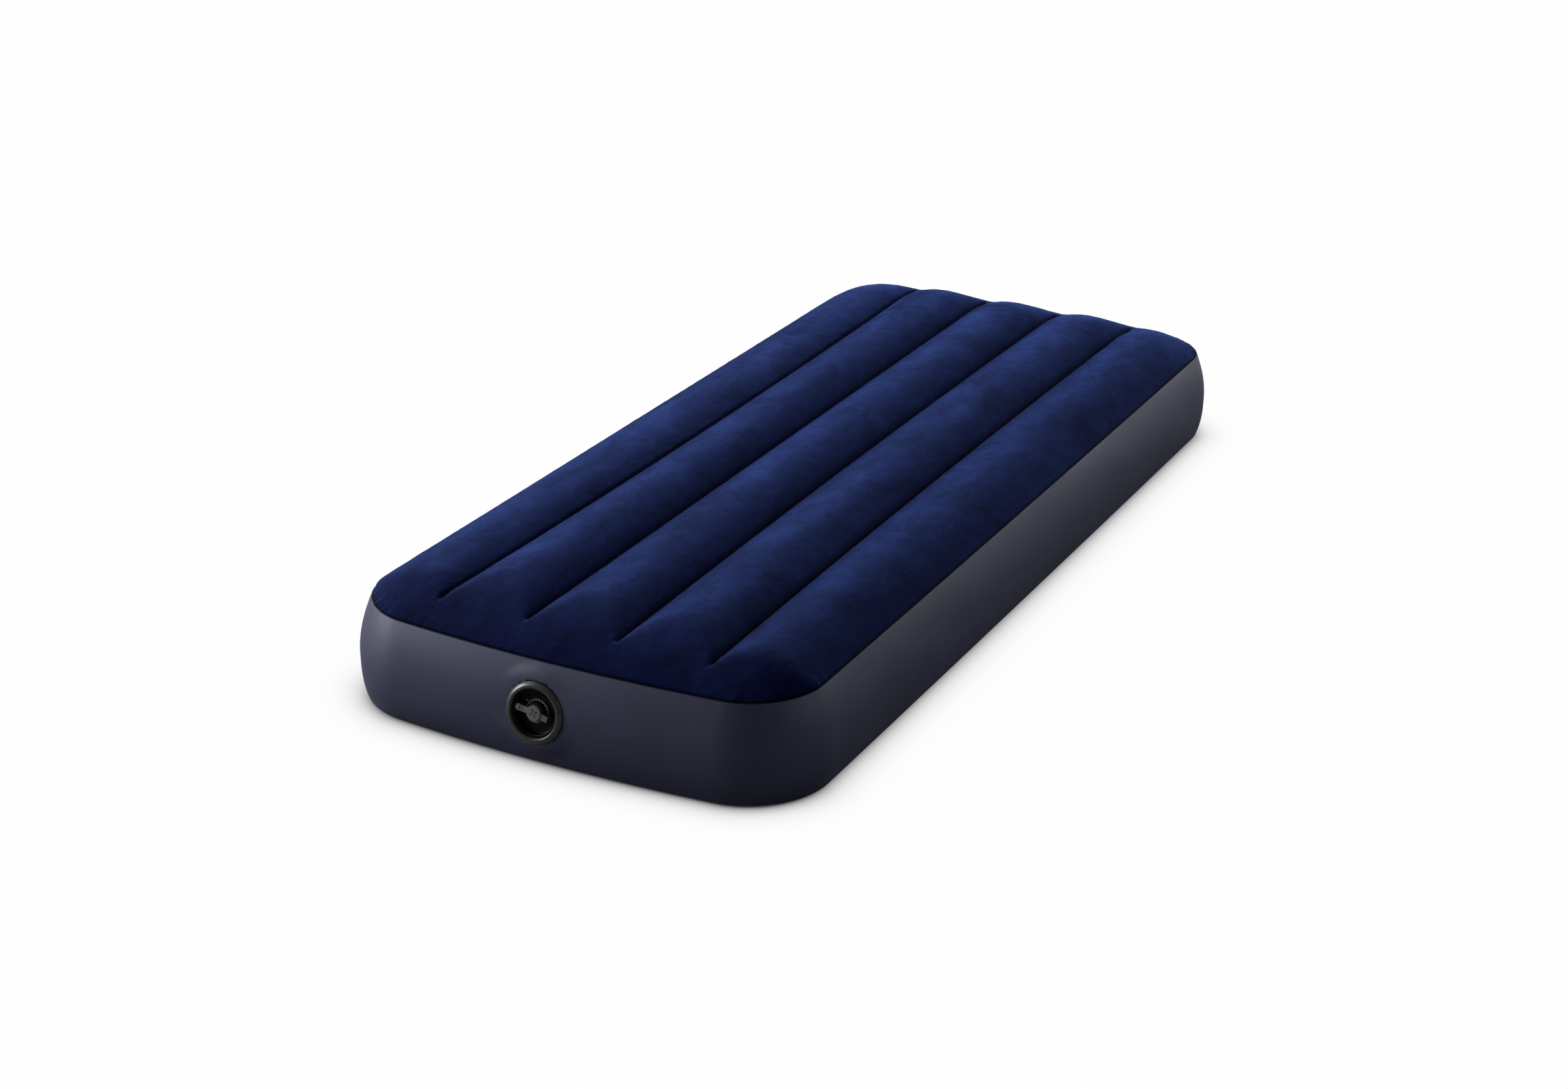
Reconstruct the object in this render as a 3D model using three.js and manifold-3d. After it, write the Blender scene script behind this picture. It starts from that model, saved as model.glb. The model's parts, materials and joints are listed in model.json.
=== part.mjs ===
// Air mattress: a five-chamber inflatable sleeping mattress with a flocked top, a plain side band,
// four internal beams and a screw-out two-stage air valve in the foot-end wall.
// Millimetres, +Z up. Origin on the floor, on the centre line, 955 mm from the foot end.
// +Y runs along the length towards the head end, and the valve is at the -Y end.
import * as THREE from "three";
import { mergeVertices } from "three/addons/utils/BufferGeometryUtils.js";
import Module from "manifold-3d";

const wasm = await Module();
wasm.setup();

// ---- overall size, inflated ----
const FOOT_Y = 955; // from the origin to the middle of the foot wall
const CORNER_Y = 928; // from the origin to either short wall, next to its corners
const WIDTH = 800;
const CORNER_R = 127; // plan radius of the corners at the widest line
const FOOT_BOW = FOOT_Y - CORNER_Y; // the walls bow out by this much in plan
const HEAD_BOW = 6;
const SIDE_BOW = 2;
const CORNER_CENTRE = { x: WIDTH / 2 - SIDE_BOW - CORNER_R, y: CORNER_Y - CORNER_R };
const SEAM_Z = 164; // height of the seam between the top sheet and the side band
const MID_Z = 70; // height at which the side band stands furthest out
const LOW_Z = 6; // height of the seam between the side band and the bottom sheet
const INSET_SEAM = 21; // how far in from the widest line the upper seam lies
const INSET_FLOOR = 12; // how far in the band has rolled where it meets the floor
const FLOOR_POWER = 2.5; // shape of the band's curve below its widest line
const SHEET = 2; // thickness of every sheet solid
const SEAM_GAP = 0.4; // clearance at seams that are welded on the real thing

// ---- chambers and top sheet ----
const CHAMBER_PITCH = 153;
const WELD_X = [-1.5, -0.5, 0.5, 1.5].map((n) => n * CHAMBER_PITCH); // beam lines at their ends
const WELD_BOW = [14, 0, -9, -9]; // how far each beam line bows sideways at mid-length
const WELD_BOW_END = 850; // distance from the origin at which that bow has died out
const FOLLOW_REACH = 76; // sheet columns this near a beam line bow with it
const WELD_Z = 190; // height of the top sheet along a beam
const CREST_RISE = 28; // rise of a chamber's crest above its beam lines
const CREST_Z = WELD_Z + CREST_RISE;
const TOP_INSET = INSET_SEAM + SHEET + 1.6; // just inside the rim of the side band
const SIDE_ROLL = 150; // width over which the uncreased top rolls down to the side seams
const SIDE_POWER = 2.2; // fullness of that roll
const END_ROLL = 155; // length over which the top sheet rolls down to the end seams
const FOOT_POWER = 1.7;
const HEAD_POWER = 1.8;
const FOOT_FADE = [868, 905]; // distances from the origin between which the creases fade out
const HEAD_FADE = [800, 929];
const FILLET_R = 6; // soft fillet between the chambers and the foot-end roll

// ---- bottom sheet ----
const BOTTOM_INSET = INSET_FLOOR + 1;
const RIM_ROLL = 17; // width of the rolled-up rim
const FLOOR_GROOVE = 4; // depth of the crease under each beam
const GROOVE_FADE = [800, 870]; // distances from the origin between which it fades out

// ---- beams ----
const BEAM_Y = [-872, 858]; // ends of the beams
const BEAM_END_MARGIN = 4; // no section stands this near to an end section
const BEAM_WEB = 2;
const BEAM_FLANGE = { width: 22, thickness: 1.4 }; // the welded strips along each beam
const BEAM_TOP_DROP = SHEET + SEAM_GAP + 0.3; // from the top sheet's outside to the beam

// ---- valve, in its own frame: +z out of the wall, +y up the wall ----
const VALVE_X = -15;
const VALVE_Z = 88;
const VALVE_TILT = 8; // degrees that the valve looks upwards
const FLAT_RADII = [53, 74]; // the wall is flat inside the first and free outside the second
const SEG = 36; // steps round the turned parts
const ARC_STEPS = 14; // steps along the arc of the cap's skirt
// base
const FLANGE_R = 48;
const LIP_R = 37.5; // mouth of the socket
const LIP_Z = 5.4;
const TUBE_R = 40.2;
const STEP_Z = -14; // ledge the plug's seal sits on
const BORE_R = 34.5;
const SOCKET_Z = -33;
// plug
const PLUG_R = 36.8;
const PLUG_TOP = -1;
const PLUG_RIM_Z = -12.2; // underside of the plug's rim
const DISH_R = 33.6;
const DISH_Z = -11.8; // floor of the plug's dish
const DISH_UNDER = DISH_Z - 2.6; // underside of that floor
const DISH_ROOT = DISH_Z - 0.4; // parts on the floor are sunk in to here
const SKIRT_R = 32.2;
const SKIRT_Z = -30;
const PITCH = 8; // thread pitch: one turn lifts the plug by this much
const THREAD_TURNS = 1.2;
const PORT_R = 9.5;
const BOSS_R = 14;
const BOSS_Z = -5;
const PEG_AT = [-18.2, 13.8]; // small round peg on the dish floor
const GRIP = {
  inner: 15.2,
  root: 17.2,
  outer: 19.2,
  from: -8, // degrees
  to: 172,
  arcSteps: 24,
  teeth: 9,
};
// cap and strap
const HUB_R = 11.6;
const HUB_TOP = 2;
const HUB_LOW = -4.7;
const STOPPER_LENGTH = 7.8;
const NOTCH = { radius: 4.6, size: 3.4, depth: 3, at: 33, turn: 68 }; // angles in degrees
const PAD_AT = [-27, 3.5]; // centre of the strap's riveted end
const RIVET_HOLE_R = 1.7;
const TAB_AT = [22.3, -6.3]; // end of the pull tab
const STRAP_Z = [-2.5, 0.5];
const STRAP_WIDTH = 9.6;
const STRAP_START = 4; // strap and tab start inside the hub, this far from the valve axis
const FOLD_AT = 19.5; // distance of the strap's fold from the valve axis
const FOLD_HALF_GAP = 0.25;
// check flap
const FLAP_R = 10.8;
const FLAP_T = 1.1;
const FLAP_Z = DISH_UNDER - 0.5; // outer face
const PIN_AT = [12.8, DISH_UNDER - 2.2]; // y and z of the flap's hinge
const PIN_HOLE_R = 1.2;

// ---- maths helpers ----
const radians = THREE.MathUtils.degToRad;
const clamp01 = (value) => Math.min(1, Math.max(0, value));
const smooth = (from, to, x) => {
  const t = clamp01((x - from) / (to - from));
  return t * t * (3 - 2 * t);
};
// rises from 0 to 1 as share does, levelling off at the end
const roll = (share, power) => 1 - (1 - share) ** power;
const polar = (radius, degrees) => {
  const angle = radians(degrees);
  return [radius * Math.cos(angle), radius * Math.sin(angle)];
};
const mirroredX = (half) => [...half.map((x) => -x).reverse(), 0, ...half];
// shares from 0 up to and including 0.5, continued symmetrically to 1
const mirroredShares = (half) => [...half, ...half.slice(0, -1).reverse().map((s) => 1 - s)];

// ---- mesh helpers ----
// a mesh of one closed surface with its faces turned outwards
function closed(positions, index) {
  const corner = (i) => new THREE.Vector3().fromArray(positions, index[i] * 3);
  let volume = 0;
  for (let i = 0; i < index.length; i += 3) {
    volume += corner(i).dot(corner(i + 1).cross(corner(i + 2)));
  }
  if (volume < 0) {
    for (let i = 0; i < index.length; i += 3) {
      [index[i + 1], index[i + 2]] = [index[i + 2], index[i + 1]];
    }
  }
  const mesh = new THREE.BufferGeometry();
  mesh.setAttribute("position", new THREE.Float32BufferAttribute(positions, 3));
  mesh.setIndex(index);
  return mesh;
}

function toManifold(source) {
  const bare = source.index ? source.toNonIndexed() : source.clone();
  for (const name of Object.keys(bare.attributes)) {
    if (name !== "position") bare.deleteAttribute(name);
  }
  const merged = mergeVertices(bare, 1e-4);
  return new wasm.Manifold(
    new wasm.Mesh({
      numProp: 3,
      vertProperties: new Float32Array(merged.attributes.position.array),
      triVerts: new Uint32Array(merged.index.array),
    }),
  );
}

function fromManifold(body) {
  const mesh = body.getMesh();
  const result = new THREE.BufferGeometry();
  const positions = new Float32Array(mesh.vertProperties);
  result.setAttribute("position", new THREE.BufferAttribute(positions, 3));
  result.setIndex(new THREE.BufferAttribute(new Uint32Array(mesh.triVerts), 1));
  return result;
}

// all the parts joined, then all the cuts taken away
function combine(parts, cuts = []) {
  let body = toManifold(parts[0]);
  for (const part of parts.slice(1)) body = body.add(toManifold(part));
  for (const cut of cuts) body = body.subtract(toManifold(cut));
  return fromManifold(body);
}

// two grids of points, joined along their borders into one closed shell;
// wrap joins the last row to the first
function shell(outer, inner, rowCount, columnCount, wrap) {
  const positions = [];
  const index = [];
  for (const point of [outer, inner]) {
    for (let i = 0; i < rowCount; i++) {
      for (let j = 0; j < columnCount; j++) positions.push(...point(i, j));
    }
  }
  const at = (side, i, j) => (side * rowCount + (i % rowCount)) * columnCount + j;
  const quad = (a, b, c, d) => index.push(a, b, c, a, c, d);
  const spans = wrap ? rowCount : rowCount - 1;
  const endRow = rowCount - 1;
  const endColumn = columnCount - 1;
  for (let i = 0; i < spans; i++) {
    for (let j = 0; j < endColumn; j++) {
      quad(at(0, i, j), at(0, i + 1, j), at(0, i + 1, j + 1), at(0, i, j + 1));
      quad(at(1, i, j), at(1, i, j + 1), at(1, i + 1, j + 1), at(1, i + 1, j));
    }
    quad(at(0, i, 0), at(1, i, 0), at(1, i + 1, 0), at(0, i + 1, 0));
    quad(
      at(0, i, endColumn),
      at(0, i + 1, endColumn),
      at(1, i + 1, endColumn),
      at(1, i, endColumn),
    );
  }
  if (!wrap) {
    for (let j = 0; j < endColumn; j++) {
      quad(at(0, 0, j), at(0, 0, j + 1), at(1, 0, j + 1), at(1, 0, j));
      quad(
        at(0, endRow, j),
        at(1, endRow, j),
        at(1, endRow, j + 1),
        at(0, endRow, j + 1),
      );
    }
  }
  return closed(positions, index);
}

// a skin over successive closed sections; capTriangles close both ends,
// and without them the last section joins the first
function sweep(sections, capTriangles) {
  const count = sections.length;
  const size = sections[0].length;
  const index = [];
  const spans = capTriangles ? count - 1 : count;
  for (let i = 0; i < spans; i++) {
    const here = i * size;
    const next = ((i + 1) % count) * size;
    for (let j = 0; j < size; j++) {
      const k = (j + 1) % size;
      index.push(here + j, here + k, next + k, here + j, next + k, next + j);
    }
  }
  const last = (count - 1) * size;
  for (const [a, b, c] of capTriangles ?? []) {
    index.push(a, c, b, last + a, last + b, last + c);
  }
  return closed(sections.flat(2), index);
}

// a turned part; profile is a closed loop of [radius, z]
function lathe(profile) {
  const sections = [];
  for (let i = 0; i < SEG; i++) {
    sections.push(profile.map(([radius, z]) => [...polar(radius, (360 * i) / SEG), z]));
  }
  return sweep(sections);
}

// a screw rib between two radii, rising with the angle from startZ
function screwRib(rootR, crestR, startZ) {
  const sections = [];
  for (let i = 0; i <= Math.round(SEG * THREAD_TURNS); i++) {
    const z = startZ + (PITCH * i) / SEG;
    const profile = [[rootR, -1.2], [crestR, -0.6], [crestR, 0.6], [rootR, 1.2]];
    sections.push(profile.map(([radius, dz]) => [...polar(radius, (360 * i) / SEG), z + dz]));
  }
  return sweep(sections, [[0, 1, 2], [0, 2, 3]]);
}

const disc = (radius, lowZ, highZ, segments = SEG) =>
  new THREE.CylinderGeometry(radius, radius, highZ - lowZ, segments)
    .rotateX(Math.PI / 2)
    .translate(0, 0, (lowZ + highZ) / 2);

const extruded = (shape, lowZ, highZ) =>
  new THREE.ExtrudeGeometry(shape, {
    depth: highZ - lowZ,
    bevelEnabled: false,
    curveSegments: ARC_STEPS,
  }).translate(0, 0, lowZ);

// a flat bar pointing from the valve axis towards a point, between two distances
function barTowards(target, start, end, startWidth, endWidth = startWidth) {
  const direction = new THREE.Vector2(...target).normalize();
  const at = (distance, offset) =>
    new THREE.Vector2(
      direction.x * distance - direction.y * offset,
      direction.y * distance + direction.x * offset,
    );
  return new THREE.Shape([
    at(start, -startWidth / 2),
    at(end, -endWidth / 2),
    at(end, endWidth / 2),
    at(start, startWidth / 2),
  ]);
}

// ---- plan outline ----
function outlineSize(inset) {
  const radius = CORNER_R - inset;
  return {
    halfWidth: CORNER_CENTRE.x + radius,
    halfLength: CORNER_CENTRE.y + radius,
    radius,
  };
}

// moves a point of the straight-walled outline out to the bowed one
function bowed(x, y, { halfWidth, halfLength }) {
  const across = Math.min(1, Math.abs(x) / halfWidth);
  const along = Math.min(1, Math.abs(y) / halfLength);
  const endBow = y < 0 ? -FOOT_BOW : HEAD_BOW;
  return [
    x + Math.sign(x) * SIDE_BOW * (1 - along ** 2) * across ** 2,
    y + endBow * (1 - across ** 2) * along ** 4,
  ];
}

// half length of the outline at a given x, before the bow
function reachAt(x, { halfLength, radius }) {
  const over = Math.abs(x) - CORNER_CENTRE.x;
  if (over <= 0) return halfLength;
  return CORNER_CENTRE.y + Math.sqrt(Math.max(0, radius ** 2 - over ** 2));
}

// ---- sheet grids ----
// columns across the mattress: finer at the corners, where the outline turns
function columns(inset, inner) {
  const { radius } = outlineSize(inset);
  const edge = [90, 74, 58, 42, 27, 12].map(
    (degrees) => CORNER_CENTRE.x + radius * Math.sin(radians(degrees)),
  );
  return [...edge.map((x) => -x), ...inner, ...edge.reverse()];
}

const weldAt = (k, y) =>
  WELD_X[k] + WELD_BOW[k] * Math.max(0, 1 - (y / WELD_BOW_END) ** 2);

// sideways shift that lets columns follow the beam lines, so that the creases stay sharp
function followShift(x, y) {
  let shift = 0;
  for (let k = 0; k < WELD_X.length; k++) {
    const nearness = Math.max(0, 1 - Math.abs(x - WELD_X[k]) / FOLLOW_REACH);
    shift += nearness * (weldAt(k, y) - WELD_X[k]);
  }
  return shift;
}

// plan point at a share of the length along a column
function sheetPoint(column, share, inset) {
  const size = outlineSize(inset);
  const reach = reachAt(column, size);
  const straightY = (2 * share - 1) * reach;
  const [x, y] = bowed(column, straightY, size);
  const [, endY] = bowed(column, Math.sign(straightY || 1) * reach, size);
  return {
    x,
    shiftedX: x + followShift(x, y),
    y,
    toEnd: Math.abs(endY) - Math.abs(y),
  };
}

// ---- top sheet ----
const TOP_COLUMNS = columns(
  TOP_INSET,
  mirroredX([30, 61, 76.5, 92, 122, 153, 184, 214, 229.5, 245]),
);
const TOP_ROWS = mirroredShares([0, 0.008, 0.021, 0.038, 0.06, 0.086, 0.2, 0.35, 0.5]);

// height of the chamber arcs, with the creases at full depth
function chamberHeight(x, y) {
  const halfWidth = WIDTH / 2 - TOP_INSET;
  const lines = [-halfWidth, ...WELD_X.map((_, k) => weldAt(k, y)), halfWidth];
  const last = WELD_X.length;
  let k = 0;
  while (k < last && x > lines[k + 1]) k++;
  const startZ = k === 0 ? SEAM_Z : WELD_Z;
  const endZ = k === last ? SEAM_Z : WELD_Z;
  const t = (x - lines[k]) / (lines[k + 1] - lines[k]);
  return startZ + (endZ - startZ) * t + CREST_RISE * (1 - (2 * t - 1) ** 2);
}

// height of the top sheet's outside at a point
function topHeight(x, y, toEnd) {
  const chamber = chamberHeight(x, y);
  const side = clamp01((WIDTH / 2 - TOP_INSET - Math.abs(x)) / SIDE_ROLL);
  const crest = SEAM_Z + (CREST_Z - SEAM_Z) * roll(side, SIDE_POWER);
  const filled = Math.max(chamber, Math.min(crest, chamber + CREST_RISE));
  // near the ends of the beams the creases run out
  const fade = y < 0 ? smooth(...FOOT_FADE, -y) : smooth(...HEAD_FADE, y);
  const body = chamber + (filled - chamber) * fade;
  const endShare = clamp01(toEnd / END_ROLL);
  // head end: the whole section shrinks towards the seam
  if (y > 0) return SEAM_Z + (body - SEAM_Z) * roll(endShare, HEAD_POWER);
  // foot end: the beam lines stay level until they meet the roll
  const end = SEAM_Z + (CREST_Z - SEAM_Z) * roll(endShare, FOOT_POWER);
  const fillet = FILLET_R * Math.min(1, 3 * (1 - endShare));
  const gap = Math.abs(body - end);
  const softening = gap >= fillet ? 0 : (fillet - gap) ** 2 / (4 * fillet);
  return Math.min(body, end) - softening;
}

function topPoint(column, share, drop = 0) {
  const { shiftedX, y, toEnd } = sheetPoint(column, share, TOP_INSET);
  return [shiftedX, y, topHeight(shiftedX, y, toEnd) - drop];
}

const topSheet = () =>
  shell(
    (i, j) => topPoint(TOP_COLUMNS[i], TOP_ROWS[j]),
    (i, j) => topPoint(TOP_COLUMNS[i], TOP_ROWS[j], SHEET),
    TOP_COLUMNS.length,
    TOP_ROWS.length,
    false,
  );

// ---- bottom sheet: flat on the floor, rolled up at its rim, creased under each beam ----
const BOTTOM_COLUMNS = columns(BOTTOM_INSET, mirroredX([63, 76.5, 90, 153, 216, 229.5, 243]));
const BOTTOM_ROWS = mirroredShares([0, 0.01, 0.03, 0.06, 0.2, 0.5]);

function bottomPoint(column, share, lift = 0) {
  const { x, shiftedX, y, toEnd } = sheetPoint(column, share, BOTTOM_INSET);
  const toRim = Math.min(toEnd, WIDTH / 2 - BOTTOM_INSET - Math.abs(x));
  const rim = (LOW_Z - SEAM_GAP - SHEET) * (1 - clamp01(toRim / RIM_ROLL)) ** 2;
  const onBeam = WELD_X.some((_, k) => Math.abs(shiftedX - weldAt(k, y)) < 1);
  const crease = onBeam ? FLOOR_GROOVE * (1 - smooth(...GROOVE_FADE, Math.abs(y))) : 0;
  return [shiftedX, y, rim + crease + lift];
}

const bottomSheet = () =>
  shell(
    (i, j) => bottomPoint(BOTTOM_COLUMNS[i], BOTTOM_ROWS[j]),
    (i, j) => bottomPoint(BOTTOM_COLUMNS[i], BOTTOM_ROWS[j], SHEET),
    BOTTOM_COLUMNS.length,
    BOTTOM_ROWS.length,
    false,
  );

// ---- valve frame ----
// how far in from the widest line the side band lies at a height
const insetAt = (z) =>
  z < MID_Z
    ? INSET_FLOOR * ((MID_Z - z) / MID_Z) ** FLOOR_POWER
    : INSET_SEAM * ((z - MID_Z) / (SEAM_Z - MID_Z)) ** 2;
const tilt = radians(VALVE_TILT);
const outOfWall = new THREE.Vector3(0, -Math.cos(tilt), Math.sin(tilt));
const upWall = new THREE.Vector3(0, Math.sin(tilt), Math.cos(tilt));
const valveAt = new THREE.Vector3(VALVE_X, insetAt(VALVE_Z) - FOOT_Y, VALVE_Z);
const valveMatrix = new THREE.Matrix4()
  .makeBasis(new THREE.Vector3(1, 0, 0), upWall, outOfWall)
  .setPosition(valveAt);

// ---- side band ----
const BAND_Z = [LOW_Z, 14, 26, 40, 56, 72, 88, 104, 120, 136, 150, SEAM_Z];
const CORNER_STEPS = 7;
const LONG_SHARES = [0, 0.12, 0.26, 0.42, 0.58, 0.74, 0.88]; // along a long wall
const HEAD_SHARES = [0, 0.17, 0.33, 0.5, 0.67, 0.83]; // along the head wall
// x along the foot wall, closer together round the valve
const FOOT_X = [
  -CORNER_CENTRE.x, -205, -150, -110, -86, -69, -55, -42, -29,
  -15, -1, 12, 25, 39, 56, 80, 120, 190,
];

// stations round the outline, each a function from the outline's size to a plan point
const cornerStations = (signX, signY, fromDegrees) =>
  Array.from({ length: CORNER_STEPS }, (_, k) => ({ radius }) => {
    const [x, y] = polar(radius, fromDegrees + (90 * k) / CORNER_STEPS);
    return [signX * CORNER_CENTRE.x + x, signY * CORNER_CENTRE.y + y];
  });
// a long wall on one side, starting at the end given by startSign
const longStations = (signX, startSign) =>
  LONG_SHARES.map((share) => ({ halfWidth }) => [
    signX * halfWidth,
    startSign * CORNER_CENTRE.y * (1 - 2 * share),
  ]);
const STATIONS = [
  ...cornerStations(1, 1, 0),
  ...HEAD_SHARES.map((share) => ({ halfLength }) => [
    CORNER_CENTRE.x * (1 - 2 * share),
    halfLength,
  ]),
  ...cornerStations(-1, 1, 90),
  ...longStations(-1, 1),
  ...cornerStations(-1, -1, 180),
  ...FOOT_X.map((x) => ({ halfLength }) => [x, -halfLength]),
  ...cornerStations(1, -1, 270),
  ...longStations(1, -1),
];

function bandPoint(station, z, depth = 0) {
  const size = outlineSize(insetAt(z) + depth);
  const point = new THREE.Vector3(...bowed(...station(size), size), z);
  // the wall is pulled flat under the valve's welded flange
  const offset = point.clone().sub(valveAt);
  const fromAxis = Math.hypot(offset.x, offset.dot(upWall));
  const flatness = 1 - smooth(...FLAT_RADII, fromAxis);
  point.addScaledVector(outOfWall, (-depth - offset.dot(outOfWall)) * flatness);
  return point.toArray();
}

function sideWall() {
  const band = shell(
    (i, j) => bandPoint(STATIONS[i], BAND_Z[j]),
    (i, j) => bandPoint(STATIONS[i], BAND_Z[j], SHEET),
    STATIONS.length,
    BAND_Z.length,
    true,
  );
  const tubeHole = disc(TUBE_R + 0.5, -30, 20).applyMatrix4(valveMatrix);
  const flangeSeat = disc(FLANGE_R + 0.6, 0.12, 24).applyMatrix4(valveMatrix);
  return combine([band], [tubeHole, flangeSeat]);
}

// ---- internal beams: a web with a welded strip along its top and bottom ----
// points of the top sheet's crease over beam k, row by row, cut off at the ends of the beam
function creaseLine(k) {
  const line = TOP_ROWS.map((share) => topPoint(WELD_X[k], share));
  const pointAt = (y) => {
    const i = line.findIndex((point) => point[1] > y);
    const [before, after] = [line[i - 1], line[i]];
    const t = (y - before[1]) / (after[1] - before[1]);
    return before.map((value, c) => value + (after[c] - value) * t);
  };
  const [start, end] = BEAM_Y;
  const inside = line.filter(
    ([, y]) => y > start + BEAM_END_MARGIN && y < end - BEAM_END_MARGIN,
  );
  return [pointAt(start), ...inside, pointAt(end)];
}

// [x, z] outline, from the lower strip's underside round the web to the upper strip at topZ
function beamSection(topZ) {
  const lowZ = SHEET + FLOOR_GROOVE + SEAM_GAP;
  const strip = BEAM_FLANGE.width / 2;
  const web = BEAM_WEB / 2;
  const lowInner = lowZ + BEAM_FLANGE.thickness;
  const topInner = topZ - BEAM_FLANGE.thickness;
  return [
    [-strip, lowZ], [strip, lowZ], [strip, lowInner], [web, lowInner],
    [web, topInner], [strip, topInner], [strip, topZ], [-strip, topZ],
    [-strip, topInner], [-web, topInner], [-web, lowInner], [-strip, lowInner],
  ];
}

function beam(k) {
  const sections = creaseLine(k).map(([x, y, z]) =>
    beamSection(z - BEAM_TOP_DROP).map(([dx, sectionZ]) => [x + dx, y, sectionZ]),
  );
  const outline = beamSection(WELD_Z).map(([x, z]) => new THREE.Vector2(x, z));
  return sweep(sections, THREE.ShapeUtils.triangulateShape(outline, []));
}

// ---- valve base and seal ----
function valveBase() {
  const body = lathe([
    [FLANGE_R, 0.5], [FLANGE_R - 0.4, 1.9], [FLANGE_R - 2, 3.6], [FLANGE_R - 4.4, 4.9],
    [FLANGE_R - 6.6, LIP_Z], [LIP_R + 1.7, LIP_Z - 0.4], [LIP_R + 0.5, LIP_Z - 1.7],
    [LIP_R, LIP_Z - 3.6], [LIP_R, STEP_Z], [BORE_R, STEP_Z], [BORE_R, SOCKET_Z],
    [BORE_R + 2.2, SOCKET_Z], [BORE_R + 2.2, STEP_Z - 3.4], [TUBE_R, STEP_Z - 2.4],
    [TUBE_R, 0.5],
  ]);
  return combine([body, screwRib(BORE_R + 0.7, SKIRT_R + 0.7, SKIRT_Z - 0.6)]);
}

function plugSeal() {
  const [inner, outer] = [BORE_R + 0.4, PLUG_R - 0.2];
  const [low, high] = [STEP_Z + 0.3, STEP_Z + 1.5];
  return lathe([[inner, low], [outer, low], [outer, high], [inner, high]]);
}

// ---- deflation plug ----
// an upper half ring on the dish floor, with teeth along its inner edge
function gripTeeth() {
  const { inner, root, outer, from, to, arcSteps, teeth } = GRIP;
  const step = (to - from) / teeth;
  // one tooth: radius, and share of the step
  const tooth = [[root, 0], [root, 0.25], [inner, 0.35], [inner, 0.65], [root, 0.75]];
  const shape = new THREE.Shape();
  shape.moveTo(...polar(outer, from));
  for (let i = 1; i <= arcSteps; i++) {
    shape.lineTo(...polar(outer, from + ((to - from) * i) / arcSteps));
  }
  for (let i = teeth; i > 0; i--) {
    for (const [radius, share] of tooth) {
      shape.lineTo(...polar(radius, from + step * (i - share)));
    }
  }
  shape.lineTo(...polar(root, from));
  return extruded(shape, DISH_ROOT, DISH_Z + 3);
}

// a cylinder along x, on the line of the flap's hinge
const hingeRod = (radius, halfLength, segments) =>
  new THREE.CylinderGeometry(radius, radius, 2 * halfLength, segments)
    .rotateZ(Math.PI / 2)
    .translate(0, ...PIN_AT);

function deflationPlug() {
  const body = lathe([
    [PLUG_R, PLUG_RIM_Z], [PLUG_R, PLUG_TOP - 0.8], [PLUG_R - 0.8, PLUG_TOP],
    [DISH_R + 0.8, PLUG_TOP], [DISH_R, PLUG_TOP - 0.8], [DISH_R, DISH_Z], [BOSS_R, DISH_Z],
    [BOSS_R, BOSS_Z], [PORT_R, BOSS_Z], [PORT_R, DISH_UNDER], [SKIRT_R - 2.2, DISH_UNDER],
    [SKIRT_R - 2.2, SKIRT_Z], [SKIRT_R, SKIRT_Z], [SKIRT_R, PLUG_RIM_Z],
  ]);
  const thread = screwRib(SKIRT_R - 0.8, BORE_R - 0.7, SKIRT_Z + PITCH / 2 - 0.6);
  const strapPost = disc(3.2, DISH_ROOT, -2.8, 16).translate(...PAD_AT, 0);
  const peg = disc(2.2, DISH_ROOT, DISH_Z + 3.6, 12).translate(...PEG_AT, 0);
  const hingeLugs = [-5.6, 5.6].map((x) =>
    new THREE.BoxGeometry(2, 3.6, 4.8).translate(x, PIN_AT[0] + 0.1, DISH_UNDER - 2),
  );
  const rivetHole = disc(RIVET_HOLE_R, -8, 0, 12).translate(...PAD_AT, 0);
  return combine(
    [body, thread, gripTeeth(), strapPost, peg, ...hingeLugs],
    [hingeRod(PIN_HOLE_R, 8, 12), rivetHole],
  );
}

// ---- inflation cap: hub with a stopper, a lower skirt, a pull tab and the near strap half ----
function inflationCap() {
  const hub = disc(HUB_R, HUB_LOW, HUB_TOP, 32);
  const stopper = new THREE.CylinderGeometry(8.9, 6.2, STOPPER_LENGTH, 24)
    .rotateX(Math.PI / 2)
    .translate(0, 0, HUB_LOW + 0.1 - STOPPER_LENGTH / 2);
  const skirtShape = new THREE.Shape();
  skirtShape.absarc(0, 0, 15.4, Math.PI, Math.PI * 1.93, false);
  skirtShape.closePath();
  const skirt = extruded(skirtShape, HUB_LOW, HUB_LOW + 2.2);
  const tab = extruded(barTowards(TAB_AT, STRAP_START, 23.2, 10, 9.4), ...STRAP_Z);
  const strap = extruded(
    barTowards(PAD_AT, STRAP_START, FOLD_AT - FOLD_HALF_GAP, STRAP_WIDTH),
    ...STRAP_Z,
  );
  // four notches in the hub's face leave a cross of ribs between them
  const notches = [0, 90, 180, 270].map((degrees) =>
    new THREE.BoxGeometry(NOTCH.size, NOTCH.size, NOTCH.depth)
      .rotateZ(radians(NOTCH.turn + degrees))
      .translate(...polar(NOTCH.radius, NOTCH.at + degrees), HUB_TOP + 0.1),
  );
  const skirtHole = disc(1.2, HUB_LOW - 1, HUB_LOW + 4, 10).translate(10.2, -10.2, 0);
  return combine([hub, stopper, skirt, tab, strap], [...notches, skirtHole]);
}

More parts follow.
